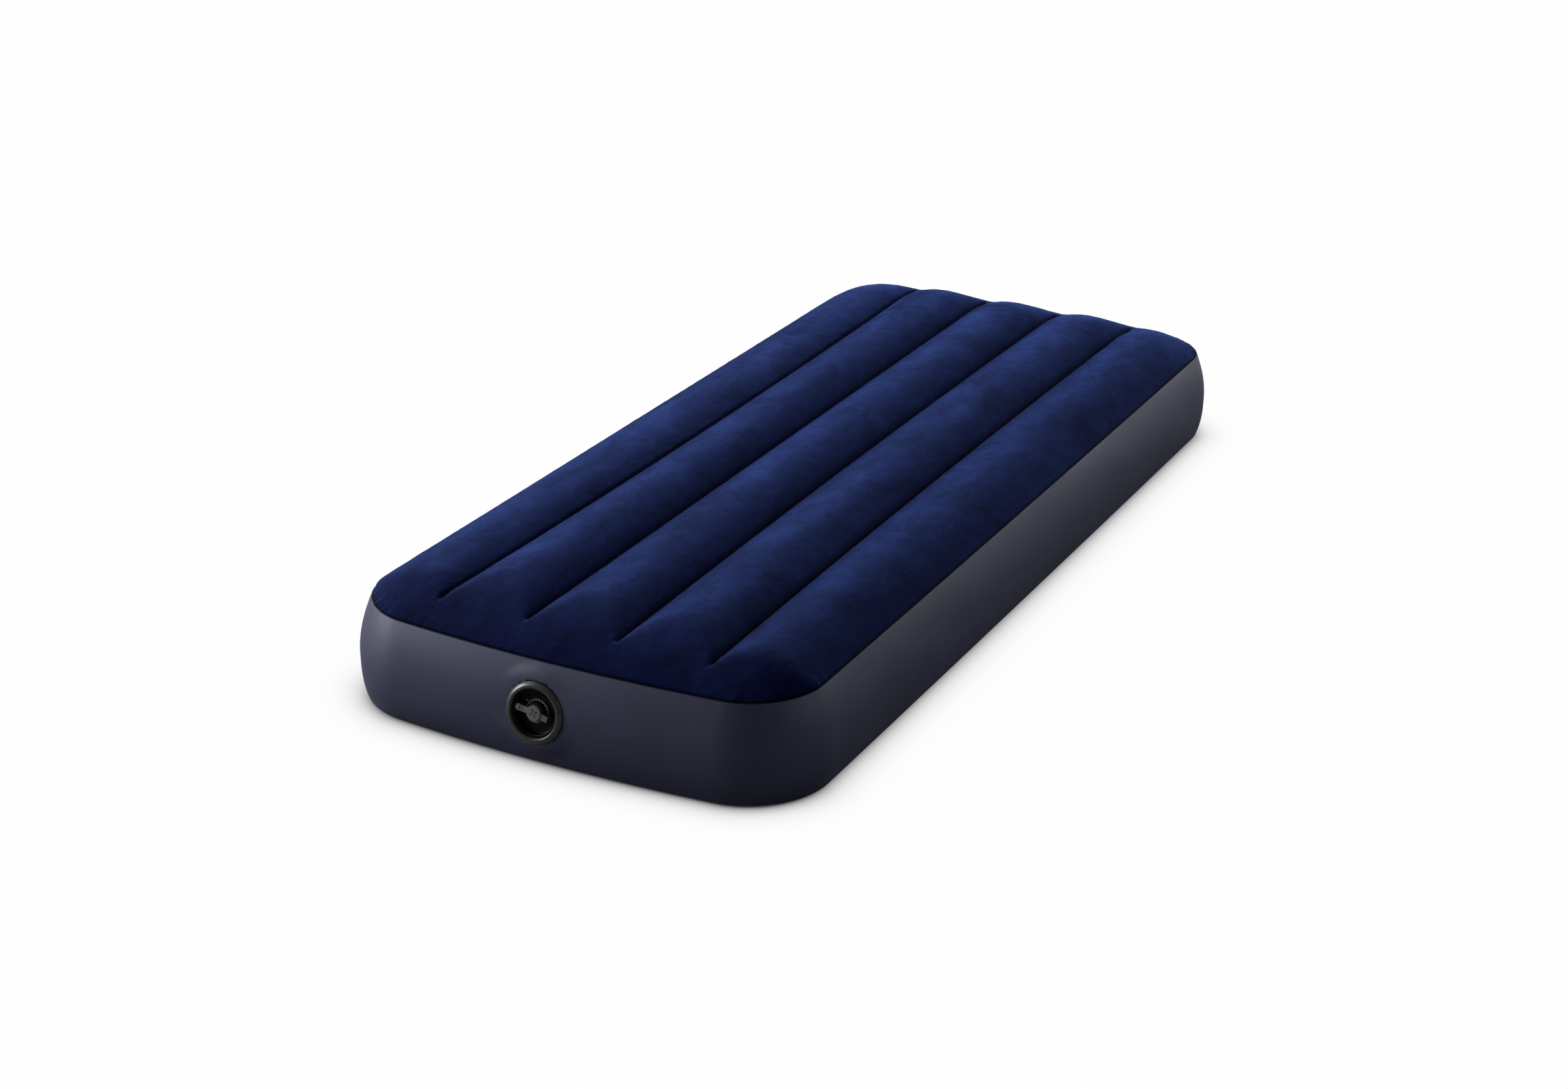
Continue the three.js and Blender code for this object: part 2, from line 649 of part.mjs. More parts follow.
// far half of the strap, riveted to its post on the plug
function capStrap() {
  const bar = barTowards(PAD_AT, FOLD_AT + FOLD_HALF_GAP, 27.2, STRAP_WIDTH);
  const pad = disc(5.2, ...STRAP_Z, 24).translate(...PAD_AT, 0);
  const rivetHole = disc(RIVET_HOLE_R, -8, 4, 12).translate(...PAD_AT, 0);
  return combine([extruded(bar, ...STRAP_Z), pad], [rivetHole]);
}

function capRivet() {
  const shank = disc(1.4, -7.4, 1, 12).translate(...PAD_AT, 0);
  const head = disc(2.8, 0.8, 1.7, 16).translate(...PAD_AT, 0);
  return combine([shank, head]);
}

// ---- check flap: a thin disc that swings inwards about a pin above the port ----
function checkFlap() {
  const plate = disc(FLAP_R, FLAP_Z - FLAP_T, FLAP_Z, 28);
  const arm = new THREE.BoxGeometry(7.6, 4, FLAP_T).translate(
    0,
    PIN_AT[0] - 2.2,
    FLAP_Z - FLAP_T / 2,
  );
  return combine([plate, arm, hingeRod(1.85, 4.1, 14)], [hingeRod(PIN_HOLE_R, 6, 12)]);
}

const flapPin = () => hingeRod(0.95, 6.9, 12);

// ---- assembly ----
function add(parent, name, geometry, { color, roughness }) {
  const material = new THREE.MeshStandardMaterial({ color, roughness, metalness: 0 });
  const mesh = new THREE.Mesh(geometry, material);
  mesh.name = name;
  parent.add(mesh);
}

const mattress = new THREE.Group();
add(mattress, "top_sheet", topSheet(), { color: 0x14204f, roughness: 0.9 });
add(mattress, "side_wall", sideWall(), { color: 0x3c3e48, roughness: 0.55 });
add(mattress, "bottom_sheet", bottomSheet(), { color: 0x2c2e36, roughness: 0.6 });
for (let k = 0; k < WELD_X.length; k++) {
  add(mattress, `beam_web_${k + 1}`, beam(k), { color: 0x9a9ca2, roughness: 0.6 });
}

const valve = new THREE.Group();
valve.applyMatrix4(valveMatrix);
mattress.add(valve);
const capPlastic = { color: 0x3a3c3c, roughness: 0.5 };
add(valve, "valve_base", valveBase(), { color: 0x33352f, roughness: 0.35 });
add(valve, "plug_seal", plugSeal(), { color: 0x101010, roughness: 0.8 });
add(valve, "deflation_plug", deflationPlug(), { color: 0x08080a, roughness: 0.45 });
add(valve, "inflation_cap", inflationCap(), capPlastic);
add(valve, "cap_strap", capStrap(), capPlastic);
add(valve, "cap_rivet", capRivet(), { color: 0x2a2b2b, roughness: 0.45 });
add(valve, "check_flap", checkFlap(), { color: 0x202224, roughness: 0.7 });
add(valve, "flap_pin", flapPin(), { color: 0x55575a, roughness: 0.4 });

export default mattress;
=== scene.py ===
import json
import math

import bmesh
import bpy
import numpy as np
from mathutils import Matrix, Vector


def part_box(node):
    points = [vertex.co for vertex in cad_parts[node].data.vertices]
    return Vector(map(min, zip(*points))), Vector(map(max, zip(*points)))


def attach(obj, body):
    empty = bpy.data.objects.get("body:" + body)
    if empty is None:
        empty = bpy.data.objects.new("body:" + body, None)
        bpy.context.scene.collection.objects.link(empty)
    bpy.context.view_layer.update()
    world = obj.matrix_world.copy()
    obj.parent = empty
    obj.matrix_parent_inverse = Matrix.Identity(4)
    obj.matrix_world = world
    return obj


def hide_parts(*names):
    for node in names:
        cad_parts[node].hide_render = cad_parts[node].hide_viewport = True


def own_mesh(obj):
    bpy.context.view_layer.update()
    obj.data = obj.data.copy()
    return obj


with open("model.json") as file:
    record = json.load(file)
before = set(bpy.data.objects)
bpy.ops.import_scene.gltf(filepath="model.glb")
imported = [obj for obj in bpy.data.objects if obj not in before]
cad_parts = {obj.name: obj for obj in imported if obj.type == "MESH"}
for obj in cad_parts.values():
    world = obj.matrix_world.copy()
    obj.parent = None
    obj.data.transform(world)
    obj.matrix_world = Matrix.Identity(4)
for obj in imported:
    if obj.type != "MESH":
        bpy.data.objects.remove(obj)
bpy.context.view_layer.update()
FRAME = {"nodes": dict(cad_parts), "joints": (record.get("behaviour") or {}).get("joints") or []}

# ------------------------------------------------------------------ driving sizes
WIDTH = 0.800
CORNER_Y = 0.928  # half length, before the ends bow
CORNER_R = 0.127
FOOT_BOW, HEAD_BOW, SIDE_BOW = 0.027, 0.006, 0.002  # outward bow; the head's points to +Y
FOOT_Y = CORNER_Y + FOOT_BOW

WALL_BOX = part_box("side_wall")
LOW_Z, SEAM_Z = WALL_BOX[0].z, WALL_BOX[1].z
MID_Z = 0.070  # where the wall stands furthest out
INSET_SEAM, INSET_FLOOR, FLOOR_POWER = 0.021, 0.012, 2.5
assert abs(WALL_BOX[1].x - WIDTH / 2) < 0.002
assert abs(WALL_BOX[0].y + FOOT_Y) < 0.012
assert abs(WALL_BOX[1].y - CORNER_Y - HEAD_BOW) < 0.002

CREST_RISE = 0.028  # height of a chamber's crest above its edges
END_ROLL = 0.155  # length over which the top rolls down to the seam at each end
FOOT_POWER, HEAD_POWER = 1.7, 1.8
TOP_INSET = INSET_SEAM + 0.0006
SHEET_T = 0.0010
CREASE = 0.0050  # the weld lines are pressed in by this much below the sheet beside them
BAND_T = 0.0012
FLOOR_INSET = INSET_FLOOR + 0.0006

JOINTS = {j["name"]: j for j in FRAME["joints"]}
KEEP = 1 - JOINTS["top_sink"]["range_m"][1] / SEAM_Z  # share of the height left when sunk

# The valve's own frame: its origin is where the axis meets the wall, and +z points outwards.
VALVE_AT = Vector(JOINTS["plug_turn"]["pos_m"])
VALVE_OUT = Vector(JOINTS["plug_turn"]["axis"]).normalized()
VALVE_X = Vector((1, 0, 0))
VALVE_UP = VALVE_OUT.cross(VALVE_X).normalized()
VALVE_MATRIX = Matrix((VALVE_X, VALVE_UP, VALVE_OUT)).transposed().to_4x4()
VALVE_MATRIX.translation = VALVE_AT


# ------------------------------------------------------------------ beam lines of the frame
def mesh_points(ob):
    co = np.empty(len(ob.data.vertices) * 3)
    ob.data.vertices.foreach_get("co", co)
    return co.reshape(-1, 3)


def beam_table(name):
    """Centre line of a beam's upper strip: y, x and z at each of its stations."""
    points = mesh_points(FRAME["nodes"][name])
    rows = []
    for y in np.unique(points[:, 1].round(4)):
        station = points[abs(points[:, 1] - y) < 2e-4]
        strip = station[station[:, 2] > station[:, 2].max() - 0.0004]
        rows.append((y, (strip[:, 0].min() + strip[:, 0].max()) / 2, station[:, 2].max()))
    return np.array(rows).T


BEAMS = [beam_table(f"beam_web_{k}") for k in (1, 2, 3, 4)]
WELD_Z = max(b[2].max() for b in BEAMS) + 0.0027
WELD_X = [float(b[1][0]) for b in BEAMS]  # at the beams' -Y ends
BEAM_Y = (BEAMS[0][0].min(), BEAMS[0][0].max())
FIT_Y, BOW_Y = 0.86, 0.850  # the bows are fitted within the first and held beyond the second
BOWS = [np.polyfit(b[0][abs(b[0]) < FIT_Y], b[1][abs(b[0]) < FIT_Y], 2) for b in BEAMS]


def weld_at(k, y):
    """Sideways place of beam line k."""
    return np.polyval(BOWS[k], np.clip(y, -BOW_Y, BOW_Y))


def follow(x, y):
    """Sideways shift that makes the columns near a beam line follow its bow."""
    shift = np.zeros_like(x)
    for k in range(4):
        near = np.clip(1 - abs(x - WELD_X[k]) / 0.0765, 0, 1)
        shift += near * (weld_at(k, y) - WELD_X[k])
    return shift


def smoothstep(low, high, x):
    t = np.clip((np.asarray(x, float) - low) / (high - low), 0, 1)
    return t * t * (3 - 2 * t)


# ------------------------------------------------------------------ mesh helpers
def make_mesh(name, verts, faces, smooth_shade=True):
    me = bpy.data.meshes.new(name)
    verts = [tuple(map(float, v)) for v in verts]
    me.from_pydata(verts, [], [tuple(int(i) for i in f) for f in faces])
    me.update()
    if smooth_shade:
        me.polygons.foreach_set("use_smooth", [True] * len(me.polygons))
    ob = bpy.data.objects.new(name, me)
    bpy.context.scene.collection.objects.link(ob)
    return ob


def grid_faces(ni, nj, wrap=False, flip=False, first=0):
    i, j = np.meshgrid(np.arange(ni if wrap else ni - 1), np.arange(nj - 1), indexing="ij")
    i, j = i.ravel(), j.ravel()
    i2 = (i + 1) % ni
    f = np.stack([i * nj + j, i2 * nj + j, i2 * nj + j + 1, i * nj + j + 1], 1) + first
    return f[:, ::-1] if flip else f


def tube_faces(sections, size):
    """Faces of a solid lofted through closed sections of size points each."""
    faces = []
    for i in range(sections - 1):
        a, b = i * size, (i + 1) * size
        for j in range(size):
            j2 = (j + 1) % size
            faces.append((a + j, a + j2, b + j2, b + j))
    last = (sections - 1) * size
    return faces + [tuple(range(size))[::-1], tuple(range(last, last + size))]


def fix_normals(ob):
    bm = bmesh.new()
    bm.from_mesh(ob.data)
    bmesh.ops.recalc_face_normals(bm, faces=bm.faces)
    bm.to_mesh(ob.data)
    bm.free()


def shell_object(name, outer, inner, wrap=False):
    """Two point grids joined round their borders into one closed shell."""
    ni, nj, _ = outer.shape
    n = ni * nj
    faces = [grid_faces(ni, nj, wrap), grid_faces(ni, nj, wrap, True, n)]
    r = np.arange(ni if wrap else ni - 1)
    r2 = (r + 1) % ni
    for j, flip in ((0, True), (nj - 1, False)):
        f = np.stack([r * nj + j, r2 * nj + j, r2 * nj + j + n, r * nj + j + n], 1)
        faces.append(f if flip else f[:, ::-1])
    if not wrap:
        c = np.arange(nj - 1)
        for i, flip in ((0, False), (ni - 1, True)):
            f = np.stack([i * nj + c, i * nj + c + 1, i * nj + c + 1 + n, i * nj + c + n], 1)
            faces.append(f if flip else f[:, ::-1])
    points = np.concatenate([outer.reshape(-1, 3), inner.reshape(-1, 3)])
    ob = make_mesh(name, points, np.concatenate(faces))
    fix_normals(ob)
    return ob


def grid_normals(grid):
    normal = np.cross(np.gradient(grid, axis=0), np.gradient(grid, axis=1))
    return normal / np.maximum(np.linalg.norm(normal, axis=-1, keepdims=True), 1e-12)


def apply_modifiers(ob):
    depsgraph = bpy.context.evaluated_depsgraph_get()
    depsgraph.update()
    me = bpy.data.meshes.new_from_object(ob.evaluated_get(depsgraph), depsgraph=depsgraph)
    old = ob.data
    ob.modifiers.clear()
    ob.data = me
    me.name = old.name
    bpy.data.meshes.remove(old)


def boolean(ob, tool, operation):
    m = ob.modifiers.new("boolean", "BOOLEAN")
    m.operation, m.solver, m.object = operation, "EXACT", tool
    apply_modifiers(ob)
    bpy.data.objects.remove(tool)


def join(ob, tool):
    boolean(ob, tool, "UNION")


def cut(ob, tool):
    boolean(ob, tool, "DIFFERENCE")


def tag(ob, name, values):
    """Stores one number per point, which a material reads by name."""
    a = ob.data.attributes.new(name, "FLOAT", "POINT")
    a.data.foreach_set("value", np.asarray(values, np.float32))


def paint(ob, material):
    ob.data.materials.clear()
    ob.data.materials.append(material)


def register(ob, material, body, node):
    """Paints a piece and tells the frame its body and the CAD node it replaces."""
    paint(ob, material)
    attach(ob, body)
    if node:
        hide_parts(node)


# ------------------------------------------------------------------ plan outline
def outline_size(inset):
    """Half width, half length and corner radius of the outline at an inset."""
    return WIDTH / 2 - inset - SIDE_BOW, CORNER_Y - inset, CORNER_R - inset


def bowed(x, y, half_w, half_l):
    """Plan points of the straight-sided outline, moved to the bowed one."""
    u = np.clip(abs(x) / half_w, 0, 1)
    v = np.clip(abs(y) / half_l, 0, 1)
    bow = np.where(np.asarray(y) < 0, -FOOT_BOW, HEAD_BOW)
    return x + np.sign(x) * SIDE_BOW * (1 - v * v) * u * u, y + bow * (1 - u * u) * v**4


def end_reach(x, inset):
    """Distance from the middle to the end of the outline, at x."""
    half_w, half_l, r = outline_size(inset)
    over = np.clip(abs(x) - (half_w - r), 0, r)
    return half_l - r + np.sqrt(np.clip(r * r - over * over, 0, None))


def inset_at(z):
    z = np.asarray(z, float)
    low = INSET_FLOOR * np.clip((MID_Z - z) / MID_Z, 0, None) ** FLOOR_POWER
    high = INSET_SEAM * np.clip((z - MID_Z) / (SEAM_Z - MID_Z), 0, None) ** 2
    return np.where(z < MID_Z, low, high)


def bed_plan(x, y, inset):
    """Bowed place of a sheet's plan points, and their distance from the nearer end."""
    half_w, half_l, _ = outline_size(inset)
    bed_x, bed_y = bowed(x, y, half_w, half_l)
    end = np.where(y < 0, -1.0, 1.0) * end_reach(x, inset)
    _, end_y = bowed(x, end, half_w, half_l)
    to_end = np.clip(abs(end_y) - abs(bed_y), 0, None)
    return bed_x + follow(bed_x, bed_y), bed_y, to_end


# ------------------------------------------------------------------ materials
def grey(v):
    return (v, v, v)


class Nodes:
    """The emptied node tree of a material or world, with short ways to fill it."""

    def __init__(self, owner):
        owner.use_nodes = True
        self.tree = owner.node_tree
        self.tree.nodes.clear()

    def add(self, kind):
        return self.tree.nodes.new("ShaderNode" + kind)

    def link(self, source, target):
        self.tree.links.new(source, target)

    def feed(self, node, inputs):
        """Sets inputs of a node, each to a plain value or to another node's output."""
        for key, value in inputs.items():
            if isinstance(value, bpy.types.NodeSocket):
                self.link(value, node.inputs[key])
            else:
                node.inputs[key].default_value = value

    def coords(self, scale=(1, 1, 1)):
        source, mapping = self.add("TexCoord"), self.add("Mapping")
        self.feed(mapping, {"Scale": scale, "Vector": source.outputs["Object"]})
        return mapping.outputs["Vector"]

    def noise(self, scale, detail, vector, rough=0.5, distort=0.0):
        n = self.add("TexNoise")
        inputs = {"Scale": scale, "Detail": detail, "Roughness": rough, "Distortion": distort}
        self.feed(n, {**inputs, "Vector": vector})
        return n.outputs["Fac"]

    def ramp(self, factor, *stops):
        """Colour ramp; each stop is its place and its colour."""
        n = self.add("ValToRGB")
        elements = n.color_ramp.elements
        while len(elements) < len(stops):
            elements.new(0.5)
        for element, (place, colour) in zip(elements, stops):
            element.position = place
            element.color = (*colour, 1)
        self.feed(n, {"Fac": factor})
        return n.outputs["Color"]

    def spread(self, factor, low, high):
        """Ramp over the middle range, where most of a noise lies."""
        return self.ramp(factor, (0.3, low), (0.7, high))

    def math(self, operation, *values):
        n = self.add("Math")
        n.operation = operation
        self.feed(n, dict(enumerate(values)))
        return n.outputs[0]

    def weighted(self, *terms):
        """Sum of outputs, each given with its weight."""
        total = None
        for output, weight in terms:
            term = self.math("MULTIPLY", output, weight)
            total = term if total is None else self.math("ADD", total, term)
        return total

    def tagged(self, name):
        n = self.add("Attribute")
        n.attribute_name = name
        return n.outputs["Fac"]

    def darken(self, colour, by):
        """colour times (1 - by)."""
        n = self.add("Mix")
        n.data_type, n.blend_type = "RGBA", "MIX"
        n.clamp_factor = True
        self.feed(n, {0: by, 6: colour, 7: (0, 0, 0, 1)})
        return n.outputs[2]

    def bump(self, shader, height, strength, distance):
        n = self.add("Bump")
        self.feed(n, {"Strength": strength, "Distance": distance, "Height": height})
        self.link(n.outputs["Normal"], shader.inputs["Normal"])


def principled(name):
    material = bpy.data.materials.new(name)
    nodes = Nodes(material)
    out, shader = nodes.add("OutputMaterial"), nodes.add("BsdfPrincipled")
    nodes.link(shader.outputs[0], out.inputs[0])
    return material, nodes, shader


NAP = (0.048, 0.095, 0.335)  # light the pile returns at a grazing angle
# stops of the pile's colour: (place, colour), and of its sheen: (place, share of NAP)
PILE_STOPS = (
    (0.36, (0.0003, 0.0006, 0.0120)), (0.50, (0.0005, 0.0010, 0.0200)),
    (0.64, (0.0008, 0.0016, 0.0290)),
)
SHEEN_STOPS = ((0.39, 0.55), (0.50, 0.98), (0.61, 1.50))


def flock_material():
    """Brushed nap: broad soft patches, smaller clouds and the fine grain of the fibres."""
    material, nodes, shader = principled("flocked_velvet")
    plain = nodes.coords()
    # both coarse noises are drawn out along the bed
    long_patch = nodes.coords((1.4, 0.55, 1))
    patch = nodes.noise(scale=9, detail=3, rough=0.55, vector=long_patch, distort=0.6)
    long_cloud = nodes.coords((1.0, 0.7, 1))
    cloud = nodes.noise(scale=30, detail=4, rough=0.62, vector=long_cloud, distort=0.5)
    fine = nodes.noise(scale=130, detail=4, rough=0.65, vector=plain, distort=0.3)
    grain = nodes.noise(scale=900, detail=2, rough=0.6, vector=plain)
    mix = nodes.weighted((patch, 0.36), (cloud, 0.26), (fine, 0.20), (grain, 0.18))
    crease_shade = nodes.tagged("crease")  # painted shade in the weld lines and at the seam, where the pile is also pressed flat
    colour = nodes.darken(nodes.ramp(mix, *PILE_STOPS), crease_shade)
    sheen = nodes.math("SUBTRACT", 1.0, nodes.math("MULTIPLY", crease_shade, 0.94))
    tints = [(place, tuple(v * share for v in NAP)) for place, share in SHEEN_STOPS]
    nodes.feed(shader, {
        "Base Color": colour,
        "Roughness": 0.85,
        "Specular IOR Level": 0.03,
        "Sheen Weight": sheen,
        "Sheen Roughness": 0.46,
        "Sheen Tint": nodes.ramp(mix, *tints),
    })
    height = nodes.weighted((grain, 0.5), (fine, 0.6))
    nodes.bump(shader, height, strength=0.40, distance=0.0010)
    return material


def vinyl_material(name, dark, light, rough, level=0.5, tint=(1, 1, 1), edge=False):
    """Clouded vinyl; level and tint are those of its reflection, edge darkens the upper rim."""
    material, nodes, shader = principled(name)
    plain = nodes.coords()
    cloud = nodes.noise(scale=6, detail=3, vector=plain, distort=0.4)
    grain = nodes.noise(scale=700, detail=2, vector=plain)
    colour = nodes.spread(nodes.weighted((cloud, 0.8), (grain, 0.2)), dark, light)
    nodes.feed(shader, {"Specular IOR Level": level, "Specular Tint": (*tint, 1)})
    if edge:  # the shadowed line where the rim turns in under the top
        rim = nodes.tagged("edge")
        colour = nodes.darken(colour, rim)
        lit = nodes.math("MULTIPLY", nodes.math("SUBTRACT", 1.0, rim), level)
        nodes.feed(shader, {"Specular IOR Level": lit})
    roughness = nodes.spread(cloud, grey(rough - 0.04), grey(rough + 0.05))
    nodes.feed(shader, {"Base Color": colour, "Roughness": roughness})
    soft = nodes.noise(scale=14, detail=2, vector=nodes.coords((1, 1, 0.35)))
    height = nodes.weighted((grain, 0.12), (soft, 0.5))
    nodes.bump(shader, height, strength=0.25, distance=0.0012)
    return material


def plastic_material(name, dark, light, rough, grain=1500, depth=0.00012, coat=0.0, level=0.5):
    """Moulded plastic; grain and depth are the scale and height of its texture."""
    material, nodes, shader = principled(name)
    plain = nodes.coords()
    cloud = nodes.noise(scale=70, detail=3, vector=plain)
    texture = nodes.noise(scale=grain, detail=2, vector=plain)
    nodes.feed(shader, {
        "Base Color": nodes.spread(cloud, dark, light),
        "Roughness": nodes.spread(texture, grey(rough - 0.05), grey(rough + 0.06)),
        "Specular IOR Level": level,
        "Coat Weight": coat,
        "Coat Roughness": 0.2,
    })
    nodes.bump(shader, texture, strength=0.3, distance=depth)
    return material


FLOCK = flock_material()
WALL_VINYL = vinyl_material(
    "wall_vinyl", dark=(0.0060, 0.0074, 0.0340), light=(0.0100, 0.0120, 0.0450),
    rough=0.55, level=0.84, tint=(0.93, 1.0, 1.25), edge=True,
)
FLOOR_VINYL = vinyl_material(
    "floor_vinyl", dark=(0.010, 0.011, 0.018), light=(0.014, 0.015, 0.023), rough=0.5, level=0.8
)
BEAM_VINYL = vinyl_material(
    "beam_vinyl", dark=(0.20, 0.205, 0.22), light=(0.27, 0.275, 0.29), rough=0.5
)
FLANGE_VINYL = plastic_material(
    "flange_vinyl", dark=(0.030, 0.032, 0.026), light=(0.040, 0.042, 0.034),
    rough=0.30, grain=900, depth=0.0002, coat=0.45,
)
PLUG_BLACK = plastic_material(
    "plug_black", dark=(0.0008, 0.0008, 0.0010), light=(0.0016, 0.0016, 0.0018),
    rough=0.38, level=0.16,
)
CAP_GREY = plastic_material(
    "cap_grey", dark=(0.100, 0.104, 0.103), light=(0.125, 0.129, 0.128),
    rough=0.60, grain=1100, depth=0.00025,
)
SEAL_RUBBER = plastic_material(
    "seal_rubber", dark=grey(0.006), light=grey(0.010), rough=0.75, grain=1300, depth=0.0002
)
FLAP_RUBBER = plastic_material(
    "flap_rubber", dark=(0.010, 0.011, 0.012), light=(0.016, 0.017, 0.019),
    rough=0.7, grain=1300, depth=0.0002,
)
PIN_PLASTIC = plastic_material(
    "pin_plastic", dark=(0.07, 0.07, 0.075), light=(0.10, 0.10, 0.105), rough=0.45
)

# ------------------------------------------------------------------ top sheet
TOP_HALF_W, TOP_HALF_L, TOP_R = outline_size(TOP_INSET)
CORNER_REACH = 0.165  # how far from the border the grid is drawn towards the round corners
# distances of grid columns from each weld line: for the cloth run, then added for the crease
WELD_STEPS = (0.0, 0.0016, 0.0042, 0.0080, 0.0130, 0.0195, 0.0275, 0.0370, 0.0480, 0.0595)
CREASE_STEPS = (0.0008, 0.0024, 0.0033, 0.0051, 0.0061, 0.0070, 0.0092, 0.0108)


def top_columns():
    """Places of the grid columns across the top: closer at the welds and the side borders."""
    xs = set()
    for weld in WELD_X:
        for step in WELD_STEPS:
            xs.update(round(x, 6) for x in (weld - step, weld + step) if abs(x) < 0.30)
    for k in range(3):
        mid = (WELD_X[k] + WELD_X[k + 1]) / 2
        xs.update((round(mid - 0.0055, 6), round(mid + 0.0055, 6)))
    last = max(xs)
    outer = 24
    for i in range(1, outer + 1):
        x = last + (TOP_HALF_W - last) * (1 - (1 - i / outer) ** 1.25)
        xs.update((round(x, 6), round(-x, 6)))
    kept = []
    for x in sorted(xs):
        if not kept or x - kept[-1] > 0.0012:
            kept.append(x)
    kept[0], kept[-1] = -TOP_HALF_W, TOP_HALF_W
    return np.array(kept)


def top_rows():
    """Places of the grid rows along the top: steps that grow away from each end."""
    ends = []
    depth, step = 0.0, 0.0022
    while depth < 0.15:
        ends.append(depth)
        depth += step
        step = min(step * 1.09, 0.0062)
    ends = np.array(ends)
    count = int(round((2 * TOP_HALF_L - 2 * depth) / 0.0090))
    middle = np.linspace(-TOP_HALF_L + depth, TOP_HALF_L - depth, count)
    return np.concatenate([-TOP_HALF_L + ends, middle, (TOP_HALF_L - ends)[::-1]])


def edge_shift(along, half_along, half_out):
    """Shift of a border point of the plain rectangle onto the rounded one: along, outwards."""
    start = half_along - TOP_R
    angle = np.clip((abs(along) - start) / TOP_R, 0, 1) * math.pi / 4
    turned = np.sign(along) * (start + TOP_R * np.sin(angle))
    new_along = np.where(abs(along) > start, turned, along)
    return new_along - along, half_out - TOP_R + TOP_R * np.cos(angle) - half_out


def top_grid():
    """Plan of the top sheet: a rectangular grid with its border drawn onto the outline."""
    xs = top_columns()
    x, y = np.meshgrid(xs, top_rows(), indexing="ij")

    def decay(distance):
        t = np.clip(distance / CORNER_REACH, 0, 1)
        return (1 - t) ** 2 * (1 + 2 * t)

    end_x, end_y = edge_shift(x, TOP_HALF_W, TOP_HALF_L)
    side_y, side_x = edge_shift(y, TOP_HALF_L, TOP_HALF_W)
    foot, head = decay(y + TOP_HALF_L), decay(TOP_HALF_L - y)
    minus, plus = decay(x + TOP_HALF_W), decay(TOP_HALF_W - x)
    plan_x = x + (foot + head) * end_x + (plus - minus) * side_x
    plan_y = y + (head - foot) * end_y + (minus + plus) * side_y
    corner = TOP_R * (1 - math.cos(math.pi / 4))  # both shifts count it at a corner
    for end, sign_y in ((foot, 1), (head, -1)):
        for side, sign_x in ((minus, 1), (plus, -1)):
            plan_x -= end * side * (sign_x * corner)
            plan_y -= end * side * (sign_y * corner)
    return xs, plan_x, plan_y


def top_height(x, y, to_end):
    """Height of the inflated top sheet, as in the CAD, with rounder chambers."""
    half_w = WIDTH / 2 - TOP_INSET
    lines = [np.full_like(x, -half_w)]
    lines += [weld_at(k, y) for k in range(4)]
    lines += [np.full_like(x, half_w)]
    z = np.zeros_like(x)
    for k in range(5):
        a, b = lines[k], lines[k + 1]
        inside = (x >= a - 1e-9) & (x <= b + 1e-9)
        za = SEAM_Z if k == 0 else WELD_Z
        zb = SEAM_Z if k == 4 else WELD_Z
        t = np.clip((x - a) / (b - a), 0, 1)
        arch = CREST_RISE * (1 - abs(2 * t - 1) ** 2.15)
        z = np.where(inside, za + (zb - za) * t + arch, z)
    # beyond the beams' ends the chambers run together at the height of their crests
    full_rise = WELD_Z + CREST_RISE - SEAM_Z
    side = np.clip((half_w - abs(x)) / 0.15, 0, 1)
    crest = SEAM_Z + full_rise * (1 - (1 - side) ** 2.2)
    free = np.where(y < 0, smoothstep(0.868, 0.905, -y), smoothstep(0.800, 0.929, y))
    body = z + (np.maximum(z, np.minimum(crest, z + CREST_RISE)) - z) * free
    # roll down to the seam: scaled at the head, a rounded minimum of two surfaces at the foot
    e = np.clip(to_end / END_ROLL, 0, 1)
    head = SEAM_Z + (body - SEAM_Z) * (1 - (1 - e) ** HEAD_POWER)
    end = SEAM_Z + full_rise * (1 - (1 - e) ** FOOT_POWER)
    blend = 0.006 * np.minimum(1, 3 * (1 - e)) + 1e-9
    gap = abs(body - end)
    foot = np.minimum(body, end) - np.where(gap >= blend, 0, (blend - gap) ** 2 / (4 * blend))
    return np.where(y > 0, head, foot)


def rest_pattern(sheet, stretch_x, stretch_y):
    """A flat pattern whose lengths along and across match the guessed surface."""
    ni, nj, _ = sheet.shape
    dx = np.linalg.norm(np.diff(sheet, axis=0), axis=-1)
    sx = np.concatenate([np.zeros((1, nj)), np.cumsum(dx, axis=0)])
    sx -= sx[-1:] / 2
    dy = np.linalg.norm(np.diff(sheet, axis=1), axis=-1)
    sy = np.concatenate([np.zeros((ni, 1)), np.cumsum(dy, axis=1)], axis=1)
    sy -= sy[:, -1:] / 2
    return np.stack([sx * stretch_x, sy * stretch_y, np.zeros_like(sx)], -1)


